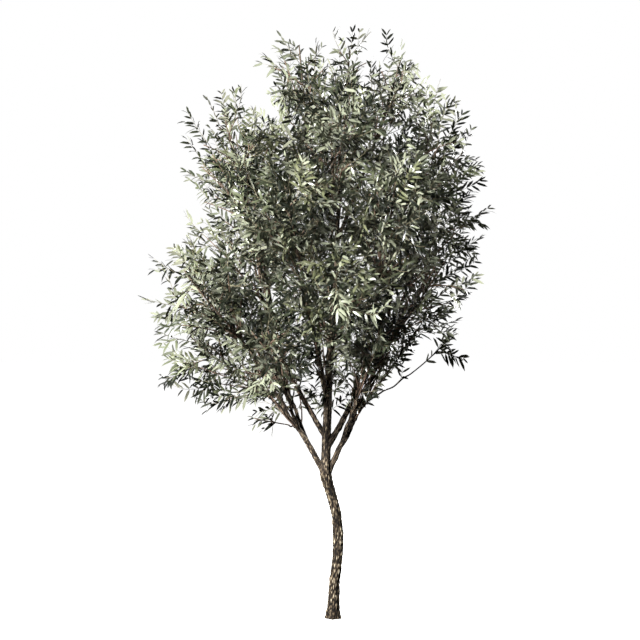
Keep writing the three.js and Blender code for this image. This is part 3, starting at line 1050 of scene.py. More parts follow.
class Foliage:
    """Carries the sprays of a mass on to shoots, and fills its share of the crown with more."""

    def __init__(self, growth: Growth) -> None:
        self.growth = growth
        self.space = growth.space
        self.random = np.random.default_rng(FOLIAGE_SEED + growth.space.index)
        self.made = Shoots()
        self.offshoots: list[Twig] = []
        outlier = growth.limb.tip <= TWIG.stem_tip
        self.slack = LEAF.outlier_slack if outlier else LEAF.slack
        for spray in growth.sprays:
            tip = spray.start + spray.heading * spray.length
            share = (float(self._fullness(tip)) + FILL.spray_margin) * float(self._leafiness(tip))
            if outlier or self.random.random() < share:
                self._carry_on(spray)
        if outlier:
            for twig in growth.twigs:
                self._dress(
                    twig.line, twig.line.length(), self._face(twig.line), FILL.outlier_bare, self._habit()
                )
        else:
            self._grow_risers()
            self._fill()
        self._grow_low_shoots()
        self.branches = [twig for twig in growth.twigs[1:] + self.offshoots if self._bears(twig)]

    def _spread(self, spread: float, size: int | None = None) -> np.ndarray:
        """Even numbers from -spread to spread."""
        return self.random.uniform(-spread, spread, size)

    def _habit(self, low: bool = False) -> Habit:
        """A habit with tints dealt out by chance, for a shoot in the crown or low on a limb."""
        return Habit(
            int(self.random.choice(len(TOPS), p=TOP_SHARES)),
            int(self.random.choice(len(UNDERSIDES), p=UNDERSIDE_SHARES)),
            math.inf if low else self.slack,
        )

    def _carry_on(self, spray: Spray) -> None:
        """Makes a spray's main shoot, which turns up towards the light, and its side shoots."""
        length = spray.length - SHOOT.tip_room
        end = spray.start + spray.heading * length
        rise = UP - spray.heading * spray.heading[2]
        sag = SHOOT.rise * self.random.uniform(*SHOOT.rise_spread) * length
        sway = self._spread(SHOOT.sway) * length
        control = (spray.start + end) / 2 - rise * sag / 2 + spray.side * sway
        self._grow(Arc(spray.start, control, end), length, SHOOT.side_shoots, self._habit())

    def _clear(
        self, line: Arc, shares: tuple[float, ...], radius: float, gap: float = CLEARANCE
    ) -> bool:
        """True if a line is clear of every limb and of the other masses' stems.

        Args:
            line: The line.
            shares: The shares of it that are looked at.
            radius: The radius round it.
            gap: The clearance round that.

        Returns:
            Whether all of it is clear.
        """
        probes = line.points(np.array(shares))
        return bool(self.growth.obstacles.clear(self.space.name, probes, radius, gap).all())

    def _fill(self) -> None:
        """Grows offshoots of the limb and then shoots, their tips spread evenly through its share."""
        space, crown = self.space, self.growth.crown
        box = space.reach * FILL.wide
        points = space.centre + box * self.random.uniform(-1, 1, (FILL.candidates, 3))
        kept = crown.covers(space, points)
        kept &= self.growth.obstacles.clear(space.name, points, FILL.tip_clearance)
        points = points[kept]
        volume = (2 * box).prod() * kept.mean()
        limb = self.growth.limb.line
        on_limb = [Root(limb.at(share), limb.heading(share)) for share in FILL.limb_shares]
        inner = points[crown.outness(points)[:, space.index] > FILL.inner_from]
        for tip in self._spaced(inner[::-1], FILL.offshoots, FILL.offshoot_spacing):
            self._offshoot(on_limb, tip)
        roots = [Root(root.at, root.tangent) for root in self.growth.roots] + on_limb
        for twig in self.offshoots:
            line = twig.line
            roots += [Root(line.at(share), line.heading(share)) for share in FILL.offshoot_ends]
        density = self._density(points)
        count = round(volume / CUBIC_METRE * FILL.per_volume * density.mean())
        full = min(FILL.length, FILL.length_share * float(space.reach.min()))
        points = points[self.random.random(len(points)) < density]
        spacing = FILL.evenness * (CUBIC_METRE / FILL.per_volume) ** (1 / 3)
        for tip in self._spaced(points, count, spacing):
            root, length = best_root(roots, tip, full, FILL.crowd_cost)
            if length >= SHOOT.side_shortest:
                root.sprays += 1
                self._grow(self._rising(root, tip), length, FILL.side_shoots, self._habit())

    def _feet(
        self, heights: tuple[float, float], spacing: float, above: float, lengths: tuple[float, float]
    ) -> Iterator[tuple[Vector, Vector, Vector, float]]:
        """Places at even steps of height from which stems or shoots leave the limb.

        Args:
            heights: The lowest and the highest place.
            spacing: The step of height between them.
            above: How far above the limb's foot the lowest one is at least.
            lengths: The range of the lengths of what grows there.

        Yields:
            A place, the limb's heading there, a direction square to that, and a length.
        """
        line = self.growth.limb.line
        low = max(heights[0], line.at(0)[2] + above)
        high = min(heights[1], line.at(1)[2])
        for height in np.arange(low, high, spacing):
            share = line.share_at_height(height)
            tangent = line.heading(share)
            way = self._spread(1, 3)
            across = unit(way - tangent * (way @ tangent))
            yield line.at(share), tangent, across, self.random.uniform(*lengths)

    def _grow_risers(self) -> None:
        """Grows thin stems that rise from the limb, bare under the crown and leafy at their ends."""
        feet = self._feet(FILL.riser_heights, FILL.riser_spacing, FILL.riser_spacing, FILL.riser_length)
        for foot, tangent, across, length in feet:
            heading = FILL.riser_up * UP + FILL.riser_along * tangent
            heading = heading + FILL.riser_out * outward(foot) + FILL.riser_across * across
            lean = unit(tangent + FILL.riser_lean * across)
            stem = Arc(foot, foot + lean * length * FILL.riser_run, foot + unit(heading) * length)
            if self._clear(stem, FILL.probes, FILL.riser_foot, FILL.gap):
                self.offshoots.append(Twig(stem, FILL.riser_foot, FILL.riser_tip))
                self._dress(stem, length, self._face(stem), FILL.riser_bare, self._habit())

    def _grow_low_shoots(self) -> None:
        """Grows short leafy shoots on the limb where it is bare, under the crown."""
        feet = self._feet(FILL.low_heights, FILL.low_spacing, 0, FILL.low_length)
        for foot, tangent, across, length in feet:
            control = foot + unit(across + tangent) * length / 2
            heading = unit(across + FILL.low_along * tangent + FILL.low_up * UP)
            shoot = Arc(foot, control, foot + heading * length)
            self._grow(shoot, length, FILL.low_side_shoots, self._habit(low=True))

    def _bears(self, twig: Twig) -> bool:
        """True if shoots leave the twig, whose end is then made leafy where none does so there."""
        if twig.tip == FILL.riser_tip:
            return True
        feet = np.array([shoot.line.start for shoot in self.made.twigs]).reshape(-1, 1, 3)
        shares = np.linspace(FILL.bare_foot, 1, FILL.looks)
        near = np.linalg.norm(feet - twig.line.points(shares), axis=2).min(axis=0) < FILL.foot_reach
        if near.any() and not near[shares > FILL.end_from].any():
            face = self._face(twig.line)
            self._dress(twig.line, twig.line.length(), face, FILL.end_bare, self._habit(low=True))
        return bool(near.any())

    def _density(self, points: Points) -> np.ndarray:
        """The share of shoots that the crown bears at each point: fewer at its rim and underneath."""
        rim = np.clip(self.growth.crown.depth(points) / FILL.rim_depth, 0, 1)
        share = FILL.rim_share + (1 - FILL.rim_share) * rim
        return share * self._leafiness(points) * self._fullness(points)

    def _fullness(self, points: Points) -> np.ndarray:
        """How full of shoots the mass is at each point: as its space says on the crown's outside."""
        middle = np.array(FILL.middle)
        beyond = np.linalg.norm(points - middle, axis=-1) - np.linalg.norm(self.space.centre - middle)
        outer = np.clip(beyond / FILL.outward + 0.5, 0, 1)
        return FILL.inner_fullness + (self.space.fullness - FILL.inner_fullness) * outer

    @staticmethod
    def _leafiness(points: Points) -> np.ndarray:
        """The share of shoots that live on at each point: few in the shade under the crown."""
        height = (points[..., 2] - FILL.open_below) / (FILL.full_above - FILL.open_below)
        out = (np.hypot(points[..., 0], points[..., 1]) - FILL.shade_reach) / FILL.outward
        lit = np.clip(np.maximum(height, out), 0, 1)
        return FILL.lowest_share + (1 - FILL.lowest_share) * lit

    def _rising(self, root: Root, tip: Vector) -> Arc:
        """An arc from a root to a tip that ends by turning up and out."""
        away = tip - root.at
        length = float(np.linalg.norm(away))
        lift = FILL.up * UP
        heading = away / length + lift + FILL.out * outward(tip) + self._spread(FILL.heading_spread, 3)
        return Arc(root.at, tip - unit(heading) * FILL.run * length, tip)

    def _offshoot(self, on_limb: list[Root], tip: Vector) -> None:
        """Grows one branch from the limb towards a tip, if it stays clear of the other limbs."""
        root, _ = best_root(on_limb, tip, FILL.offshoot_length, 0)
        foot = root.at
        end = foot + (tip - foot) * FILL.offshoot_reach
        heading = unit(unit(tip - foot) + FILL.offshoot_along * root.tangent)
        line = Arc(foot, foot + heading * FILL.run * np.linalg.norm(end - foot), end)
        if self._clear(line, FILL.probes, FILL.offshoot_foot, FILL.gap):
            self.offshoots.append(Twig(line, FILL.offshoot_foot, FILL.offshoot_tip))

    @staticmethod
    def _spaced(points: Points, count: int, spacing: float) -> Points:
        """Up to so many of the points, none nearer to another than the spacing."""
        chosen: list[Vector] = []
        for point in points:
            if len(chosen) == count:
                break
            if not chosen or np.linalg.norm(np.array(chosen) - point, axis=1).min() > spacing:
                chosen.append(point)
        return np.array(chosen).reshape(-1, 3)

    def _grow(self, main: Arc, length: float, side_shoots: float, habit: Habit) -> None:
        """Makes a shoot and its side shoots, if it is clear of the limbs.

        Args:
            main: The line of the shoot.
            length: Its length.
            side_shoots: How many side shoots one of full length has.
            habit: What the shoot and its side shoots share.
        """
        if not self._clear(main, SHOOT.probes, SHOOT.foot_radius):
            return
        self.made.twigs.append(Twig(main, SHOOT.foot_radius, SHOOT.tip_radius))
        turn = self.random.uniform(0, math.pi)
        bare = max(SHOOT.bare, 1 - SPRAY.length / length)
        self._dress(main, length, self._face(main), bare, habit)
        share = float(self._fullness(main.end)) * min(length / SPRAY.length, 1)
        count = round(side_shoots * share + self.random.uniform(-0.5, 0.5))
        for k in range(count):
            self._side_shoot(main, min(length, SPRAY.length), k, count, turn, habit)

    def _side_shoot(
        self, main: Arc, full: float, k: int, count: int, turn: float, habit: Habit
    ) -> None:
        """Makes a side shoot of a main shoot, if it keeps to the mass's share of the crown.

        Args:
            main: The line of the main shoot.
            full: The length that the side shoot's own is a share of.
            k: Which side shoot it is.
            count: How many there are.
            turn: The turn of the first one round the main shoot.
            habit: What it shares with the main shoot.
        """
        share = SHOOT.side_first + (SHOOT.side_last - SHOOT.side_first) * (k + self.random.random()) / count
        tangent = main.headings(np.array([share]))[0]
        turn += k * GOLDEN_ANGLE
        turn += float(self._spread(SHOOT.side_turn_spread))
        across = turned(square_to(tangent), tangent, turn)
        angle = math.radians(SHOOT.side_angle + float(self._spread(SHOOT.side_angle_spread)))
        heading = tangent * math.cos(angle) + across * math.sin(angle) + SHOOT.side_lift * UP
        heading = unit(heading)
        tapered = SHOOT.side_low_length - SHOOT.side_fall * share
        full_length = SHOOT.side_length * full * tapered * self.random.uniform(*SHOOT.side_spread)
        foot = main.at(share)
        for shrink in SPRAY.shrink_tries:
            length = full_length * shrink
            if length < SHOOT.side_shortest:
                return
            carry = tangent * SHOOT.side_carry * full_length * shrink
            end = foot + heading * full_length * shrink + carry
            if self._covers(end[None] + heading * SHOOT.tip_room, habit.slack - LEAF.slack)[0]:
                break
        else:
            return
        side = Arc(foot, foot + heading * full_length * shrink * SHOOT.side_run, end)
        if not self._clear(side, SHOOT.side_probes, SHOOT.side_clearance):
            return
        self.made.twigs.append(Twig(side, SHOOT.side_foot_radius, SHOOT.tip_radius))
        self._dress(side, length, self._face(side), SHOOT.side_bare, habit)

    def _face(self, line: Arc) -> Vector:
        """The way that the flat face of a spray looks: up and outwards, with a lean of its own."""
        out = SHOOT.face_out * outward(line.control)
        return unit(SHOOT.face_up * UP + out + self._spread(SHOOT.face_spread, 3))

    def _dress(
        self, line: Arc, length: float, face: Vector, bare: float, habit: Habit
    ) -> None:
        """Sets pairs of leaves on a shoot, nearly in one plane, so that it makes a flat spray.

        Args:
            line: The shoot.
            length: Its length.
            face: The way that the flat face of the spray looks.
            bare: The share of the shoot that bears no leaves.
            habit: What the spray's twigs share.
        """
        pairs = max(SHOOT.least_pairs, round(length * (1 - bare) / SHOOT.internode))
        shares = np.linspace(bare, 1, pairs)
        shares[:-1] += self._spread(SHOOT.pair_spread / pairs, pairs - 1)
        shares = np.repeat(np.clip(shares, 0, 1), 2)
        places = line.points(shares)
        tangents = line.headings(shares)
        count = 2 * pairs
        right = unit(np.cross(tangents, face))
        upper = np.cross(right, tangents)
        twists = np.radians(self._spread(LEAF.twist_spread, count))[:, None]
        side = np.tile([1, -1], pairs)[:, None]
        across = side * right * np.cos(twists) + upper * np.sin(twists)
        angles = LEAF.open_angle + (LEAF.tip_angle - LEAF.open_angle) * shares**2
        angles = np.radians(angles + self._spread(LEAF.angle_spread, count))[:, None]
        headings = unit(tangents * np.cos(angles) + across * np.sin(angles) - LEAF.droop * UP)
        normals = upper + LEAF.light_bias * UP
        normals = unit(normals - headings * (normals * headings).sum(axis=1, keepdims=True))
        rolls = np.radians(self._spread(LEAF.roll_spread, count))[:, None]
        normals = normals * np.cos(rolls) + np.cross(headings, normals) * np.sin(rolls)
        youth = np.clip((shares - SHOOT.young_from) / (1 - SHOOT.young_from), 0, 1)
        young = 1 - SHOOT.young_loss * youth**2
        lengths = LEAF.length * young * (1 + self._spread(LEAF.length_spread, count))
        tips = places + headings * lengths[:, None]
        fits = self._holds(tips, habit.slack)
        leaves = (places, headings, normals, lengths)
        tints = (np.full(count, habit.top), np.full(count, habit.underside))
        self.made.batches.append(tuple(column[fits] for column in leaves + tints))

    def _covers(self, points: Points, slack: float) -> np.ndarray:
        """Which points keep to the mass's share of the crown, give or take a slack in mm."""
        if math.isinf(slack):
            return np.ones(len(points), bool)
        return self.growth.crown.covers(self.space, points, slack / float(self.space.reach.min()))

    def _holds(self, tips: Points, slack: float) -> np.ndarray:
        """Which leaf tips keep to the mass's share of the crown and to the tree's box."""
        low = np.array(CAD_BOX[0]) / MM - LEAF.proud
        high = np.array(CAD_BOX[1]) / MM + LEAF.proud
        held = self._covers(tips, slack) & ((tips > low) & (tips < high)).all(axis=1)
        clear = self.growth.obstacles.clear(self.space.name, tips, LEAF.tip_radius, LEAF.tip_radius)
        return held & clear


# ---------------------------------------------------------------- materials


def linear(value: str) -> tuple[float, float, float, float]:
    """An sRGB hex value as linear red, green, blue and alpha."""
    shares = [int(value[i : i + 2], 16) / 255 for i in (1, 3, 5)]
    return (*((s / 12.92 if s <= 0.04045 else ((s + 0.055) / 1.055) ** 2.4) for s in shares), 1.0)


def add_node(
    tree: bpy.types.NodeTree,
    kind: str,
    settings: dict[str, object] | None = None,
    values: dict[str | int, object] | None = None,
    links: dict[str | int, bpy.types.NodeSocket] | None = None,
    stops: tuple[tuple[float, str], ...] = (),
) -> bpy.types.Node:
    """Adds a node with its settings and links.

    Args:
        tree: The material's or the world's node tree.
        kind: The node's type.
        settings: The node's own properties.
        values: What its input sockets hold.
        links: The output that each input is linked to.
        stops: A colour ramp's positions and sRGB hex values.

    Returns:
        The node.
    """
    node = tree.nodes.new(kind)
    for name, value in (settings or {}).items():
        setattr(node, name, value)
    for name, value in (values or {}).items():
        node.inputs[name].default_value = value
    for name, output in (links or {}).items():
        tree.links.new(output, node.inputs[name])
    for i, (position, value) in enumerate(stops):
        elements = node.color_ramp.elements
        element = elements[i] if i < 2 else elements.new(position)
        element.position = position
        element.color = linear(value)
    return node


def new_material(name: str) -> tuple[bpy.types.Material, bpy.types.NodeTree]:
    """A material with an empty node tree."""
    material = bpy.data.materials.new(name)
    material.use_nodes = True
    material.node_tree.nodes.clear()
    return material, material.node_tree


def plain_material(name: str, values: dict[str, object]) -> bpy.types.Material:
    """A material whose surface is one plain shader with the given values."""
    material, tree = new_material(name)
    shader = add_node(tree, "ShaderNodeBsdfPrincipled", values=values)
    add_node(tree, "ShaderNodeOutputMaterial", links={"Surface": shader.outputs[0]})
    return material


@dataclass(frozen=True)
class Bark:
    """Olive bark: corky plates parted by fissures. The relief of the mesh says where the fissures are.

    Colours are sRGB hex values from the fissure's floor, whose near-black is partly the bark's own and
    partly painted shade, to the weathered flecks on the plates.
    Sizes are real ones in mm.
    """

    name: str
    # the fissures' floor: partly the bark's own dark colour, partly painted shade
    fissure: str
    flank: str
    plate: str
    fleck: str
    stain: str
    stain_width: float
    fibre_width: float
    grit: float
    roughness: float

    def material(self) -> bpy.types.Material:
        """The bark's material."""
        material, tree = new_material(self.name)
        grain = add_node(tree, "ShaderNodeAttribute", {"attribute_name": "grain"}).outputs["Vector"]
        relief = add_node(tree, "ShaderNodeAttribute", {"attribute_name": "relief"}).outputs["Fac"]
        # fibres run along the limb, four times as long as they are wide
        stretched = add_node(
            tree, "ShaderNodeMapping", values={"Scale": (1, 1, 0.25)}, links={"Vector": grain}
        )
        fibres = add_node(
            tree,
            "ShaderNodeTexNoise",
            values={"Scale": 1 / (self.fibre_width * MM), "Detail": 3.0, "Roughness": 0.6},
            links={"Vector": stretched.outputs["Vector"]},
        )
        stains = add_node(
            tree,
            "ShaderNodeTexNoise",
            values={"Scale": 1 / (self.stain_width * MM), "Detail": 2.0},
            links={"Vector": grain},
        )
        streaks = add_node(
            tree,
            "ShaderNodeMapRange",
            values={"From Min": 0.36, "From Max": 0.64},
            links={"Value": fibres.outputs["Fac"]},
        )
        height = add_node(
            tree,
            "ShaderNodeMix",
            values={0: 0.55},
            links={2: relief, 3: streaks.outputs[0]},
        )
        # the colour darkens with the depth of the relief: painted shade in the fissures over the bark's own
        # darker colour there, mixed with the real streaks of the fibres
        shade = add_node(
            tree,
            "ShaderNodeValToRGB",
            links={"Fac": height.outputs[0]},
            stops=((0.28, self.fissure), (0.88, self.fleck), (0.46, self.flank), (0.66, self.plate)),
        )
        patches = add_node(
            tree,
            "ShaderNodeMapRange",
            values={"From Min": 0.5, "From Max": 0.68, "To Max": 0.7},
            links={"Value": stains.outputs["Fac"]},
        )
        colour = add_node(
            tree,
            "ShaderNodeMix",
            {"data_type": "RGBA", "blend_type": "MULTIPLY"},
            {7: linear(self.stain)},
            {0: patches.outputs[0], 6: shade.outputs["Color"]},
        )
        bump = add_node(
            tree,
            "ShaderNodeBump",
            values={"Strength": 0.8, "Distance": self.grit * MM},
            links={"Height": fibres.outputs["Fac"]},
        )
        shader = add_node(
            tree,
            "ShaderNodeBsdfPrincipled",
            values={"Roughness": self.roughness, "Specular IOR Level": 0.25},
            links={"Base Color": colour.outputs[2], "Normal": bump.outputs["Normal"]},
        )
        add_node(tree, "ShaderNodeOutputMaterial", links={"Surface": shader.outputs[0]})
        return material


@dataclass(frozen=True)
class Skins:
    """The plain finishes of twigs and leaves, the same all over each spray."""

    leaf_gloss: float = 0.34
    felt_roughness: float = 0.75

    def leaf_materials(self) -> list[bpy.types.Material]:
        """Waxy upper sides, then felted undersides, in the order of TOPS and UNDERSIDES."""
        waxy = {"Roughness": self.leaf_gloss, "Specular IOR Level": 0.65}
        felted = {"Roughness": self.felt_roughness, "Specular IOR Level": 0.2, "Sheen Weight": 0.15}
        made = []
        for tints, values in ((TOPS, waxy), (UNDERSIDES, felted)):
            for tint in tints:
                name = f"olive_leaf_{tint.name.lower()}"
                made.append(plain_material(name, {"Base Color": linear(tint.value), **values}))
        return made

    def twig_materials(self) -> list[bpy.types.Material]:
        """Bark of the stems, red-brown bark of the branches, and green-grey rind of the shoots."""
        colours = (
            ("olive_stem_bark", "#4e4338"),
            ("olive_twig_bark", "#5e4c3f"),
            ("olive_shoot_rind", "#716a54"),
        )
        rough = {"Roughness": 0.8, "Specular IOR Level": 0.3}
        return [
            plain_material(name, {"Base Color": linear(colour), **rough}) for name, colour in colours
        ]


# ---------------------------------------------------------------- modelling helpers


def deselect() -> None:
    """Leaves nothing selected."""
    for other in bpy.context.view_layer.objects:
        other.select_set(False)


def select_only(piece: bpy.types.Object) -> None:
    """Makes a piece the only selected one and the active one."""
    deselect()
    piece.select_set(True)
    bpy.context.view_layer.objects.active = piece


def apply_modifier(piece: bpy.types.Object, kind: str, settings: dict[str, object]) -> None:
    """Adds a modifier to a piece and applies it.

    Args:
        piece: The piece.
        kind: The modifier's type.
        settings: The modifier's own properties.
    """
    select_only(piece)
    modifier = piece.modifiers.new(kind.lower(), kind)
    for name, value in settings.items():
        setattr(modifier, name, value)
    bpy.ops.object.modifier_apply(modifier=modifier.name)


def coordinates(piece: bpy.types.Object) -> Points:
    """The points of a piece's mesh."""
    flat = np.empty(3 * len(piece.data.vertices), np.float32)
    piece.data.vertices.foreach_get("co", flat)
    return flat.reshape(-1, 3).astype(float)


def move_points(piece: bpy.types.Object, points: Points) -> None:
    """Moves the points of a piece's mesh."""
    piece.data.vertices.foreach_set("co", points.astype(np.float32).ravel())
    piece.data.update()


def store(piece: bpy.types.Object, name: str, kind: str, field_name: str, values: np.ndarray) -> None:
    """Stores values on the points of a piece's mesh, for its material to read."""
    attribute = piece.data.attributes.new(name, kind, "POINT")
    attribute.data.foreach_set(field_name, values.astype(np.float32).ravel())


def place(piece: bpy.types.Object, node: str, slot: str) -> None:
    """Sets a finished piece in the frame: it rides on the tree and stands for a CAD node."""
    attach(piece, BODY)
    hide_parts(node)


# ---------------------------------------------------------------- trunk and boughs


@dataclass(frozen=True)
class Relief:
    """The bark's relief, in mm: plates parted by fissures that run along the limb.

    Depths are from crest to hollow.
    """

    plate_width: float
    plate_length: float
    depth: float
    lump_width: float
    lump_depth: float


@dataclass
class Column:
    """A trunk or bough: an upright column, carved while it is straight and then bent along its line.

    Attributes:
        name: The CAD node that the column stands for.
        line: Its centreline.
        radius_at: Its radius at a share of the line.
        relief: The relief of its bark.
        sides: How many sides its rings have before they are rounded.
        ring_step: The distance between its rings, in mm.
        root: How far it runs on below its foot, in mm, into what it grows from.
        crest: The same beyond its tip.
        root_shrink: Its girth at the end of that, as a share.
        wander: How far its line strays from the arc, in mm.
        seed: The seed of its wander, and with 1 added that of its bark.
        twist: How far its grain turns round it, in degrees.
        lobed: Whether its foot is fluted as the trunk's is.
    """

    name: str
    line: Line
    radius_at: Callable[[float], float]
    relief: Relief
    sides: int
    ring_step: float
    root: float
    crest: float
    root_shrink: float
    wander: float
    seed: int
    twist: float = 0
    lobed: bool = False

    SUBDIVISIONS = 2
    PATH_POINTS = 80
    WAVES = (2, 3, 5)
    LEAST_RINGS = 6
    CREST_SHRINK = 0.5
    LUMP_STRETCH = 1.6
    CRACK_CONTRAST = 3.4

    def build(self, material: bpy.types.Material, slot: str) -> bpy.types.Object:
        """Models the column, dresses it and sets it in the frame.

        Args:
            material: Its bark.
            slot: Not used.

        Returns:
            The piece.
        """
        path = self._path()
        steps = np.linalg.norm(np.diff(path, axis=0), axis=1)
        travelled = np.concatenate([[0], np.cumsum(steps)])
        piece = self._raise(travelled)
        levels = {"levels": self.SUBDIVISIONS, "render_levels": self.SUBDIVISIONS}
        apply_modifier(piece, "SUBSURF", levels)
        if self.lobed:
            self._flute(piece)
        self._carve(piece)
        if self.twist:
            apply_modifier(
                piece,
                "SIMPLE_DEFORM",
                {"deform_method": "TWIST", "deform_axis": "Z", "angle": math.radians(self.twist)},
            )
        self._bend(piece, path)
        if self.lobed:
            self._cut_level(piece)
        select_only(piece)
        bpy.ops.object.shade_smooth()
        piece.data.materials.append(material)
        place(piece, self.name, slot)
        return piece

    def _path(self) -> Points:
        """The points of the centreline, with a slow wander that fades out at both ends."""
        shares = np.linspace(0, 1, self.PATH_POINTS)
        points = self.line.points(shares)
        random = np.random.default_rng(self.seed)
        fade = np.sin(math.pi * shares)[:, None]
        for waves in self.WAVES:
            phase = random.uniform(0, 2 * math.pi, 3)
            way = random.uniform(-1, 1, 3) * self.wander / waves
            points += fade * way * np.sin(2 * math.pi * waves * shares[:, None] + phase)
        return points

    def _raise(self, travelled: np.ndarray) -> bpy.types.Object:
        """Extrudes the column ring by ring along Z, each at the radius that its place calls for.

        Args:
            travelled: The way along the line, in mm, at even shares of it.

        Returns:
            The piece, with its normals outwards.
        """
        length = travelled[-1]
        rings = max(self.LEAST_RINGS, round(length / self.ring_step))
        heights = np.linspace(0, length, rings + 1)
        shares = np.interp(heights, travelled, np.linspace(0, 1, len(travelled)))
        radii = np.array([self.radius_at(float(share)) for share in shares])
        if self.root:
            heights = np.concatenate([[-self.root], heights])
            radii = np.concatenate([[radii[0] * self.root_shrink], radii])
        if self.crest:
            heights = np.concatenate([heights, [length + self.crest]])
            radii = np.concatenate([radii, [radii[-1] * self.CREST_SHRINK]])
        heights = heights * MM
        # subdivision draws a ring of few sides inwards, so it starts that much wider
        radii = radii * MM * 3 / (2 + math.cos(2 * math.pi / self.sides))
        deselect()
        bpy.ops.mesh.primitive_circle_add(
            vertices=self.sides, radius=radii[0], fill_type="NGON", location=(0, 0, heights[0])
        )
        piece = bpy.context.object
        piece.name = f"{self.name}_bark"
        bpy.ops.object.transform_apply(location=True, rotation=True, scale=True)
        bpy.ops.object.mode_set(mode="EDIT")
        for i in range(1, len(heights)):
            bpy.ops.mesh.extrude_region_move(
                TRANSFORM_OT_translate={"value": (0, 0, heights[i] - heights[i - 1])}
            )
            ratio = radii[i] / radii[i - 1]
            bpy.ops.transform.resize(value=(ratio, ratio, 1), center_override=(0, 0, heights[i]))
        bpy.ops.mesh.select_all(action="SELECT")
        bpy.ops.mesh.remove_doubles(threshold=1e-6)
        bpy.ops.mesh.normals_make_consistent(inside=False)
        bpy.ops.object.mode_set(mode="OBJECT")
        return piece

    def _flute(self, piece: bpy.types.Object) -> None:
        """Draws the foot out over the main roots."""
        points = coordinates(piece)
        flare = np.exp(-np.maximum(points[:, 2], 0) / (TRUNK.flare_height * MM))
        angles = np.arctan2(points[:, 1], points[:, 0])
        swell = 1 + TRUNK.lobe_depth * flare * np.cos(TRUNK.lobes * angles)
        points[:, :2] *= swell[:, None]
        move_points(piece, points)

    def _carve(self, piece: bpy.types.Object) -> None:
        """Displaces slow lumps, then plates and fissures, and stores their heights for the material."""
        random = np.random.default_rng(self.seed + 1)
        shift = random.uniform(-1, 1, 3)
        relief = self.relief
        start = coordinates(piece)
        store(piece, "grain", "FLOAT_VECTOR", "vector", start + shift)
        lumps = bpy.data.textures.new("lumps", "CLOUDS")
        lumps.noise_scale = relief.lump_width * MM
        stretch = relief.plate_length / relief.plate_width
        self._displace(piece, lumps, relief.lump_depth, self.LUMP_STRETCH, shift)
        before = coordinates(piece)
        cracks = bpy.data.textures.new("cracks", "VORONOI")
        cracks.noise_scale = relief.plate_width * MM
        cracks.weight_1 = -1
        cracks.weight_2 = 1
        cracks.noise_intensity = self.CRACK_CONTRAST
        self._displace(piece, cracks, relief.depth, stretch, shift)
        after = coordinates(piece)
        raised = np.linalg.norm(after[:, :2], axis=1) - np.linalg.norm(before[:, :2], axis=1)
        # the material darkens the low parts by these heights, as painted shade in the fissures over the
        # bark's own darker colour
        store(piece, "relief", "FLOAT", "value", np.clip(raised / (relief.depth * MM) + 0.5, 0, 1))

    @staticmethod
    def _displace(
        piece: bpy.types.Object, texture: bpy.types.Texture, depth: float, stretch: float, shift: Vector
    ) -> None:
        """Displaces a piece by a texture, about its middle value.

        Args:
            piece: The piece.
            texture: The texture, which is used up.
            depth: How deep it goes from crest to hollow, in mm.
            stretch: How far it is stretched along Z.
            shift: How far it is moved, so that no two columns are alike.
        """
        bpy.ops.object.empty_add(location=shift)
        gauge = bpy.context.object
        gauge.scale = (1, 1, stretch)
        bpy.context.view_layer.update()
        settings = {
            "texture": texture,
            "texture_coords": "OBJECT",
            "texture_coords_object": gauge,
            "strength": depth * MM,
            "mid_level": 0.5,
        }
        apply_modifier(piece, "DISPLACE", settings)
        bpy.data.objects.remove(gauge)
        bpy.data.textures.remove(texture)

    def _bend(self, piece: bpy.types.Object, path: Points) -> None:
        """Bends the column along its path."""
        data = bpy.data.curves.new("path", "CURVE")
        data.dimensions = "3D"
        data.twist_mode = "MINIMUM"
        spline = data.splines.new("POLY")
        spline.points.add(len(path) - 1)
        spline.points.foreach_set("co", np.hstack([path * MM, np.ones((len(path), 1))]).ravel())
        guide = bpy.data.objects.new("path", data)
        bpy.context.collection.objects.link(guide)
        bpy.context.view_layer.update()
        apply_modifier(piece, "CURVE", {"object": guide, "deform_axis": "POS_Z"})
        bpy.data.objects.remove(guide)

    def _cut_level(self, piece: bpy.types.Object) -> None:
        """Cuts the foot level with the ground."""
        select_only(piece)
        bpy.ops.object.mode_set(mode="EDIT")
        bpy.ops.mesh.select_all(action="SELECT")
        bpy.ops.mesh.bisect(plane_co=(0, 0, 0), plane_no=(0, 0, 1), use_fill=True, clear_inner=True)
        bpy.ops.object.mode_set(mode="OBJECT")


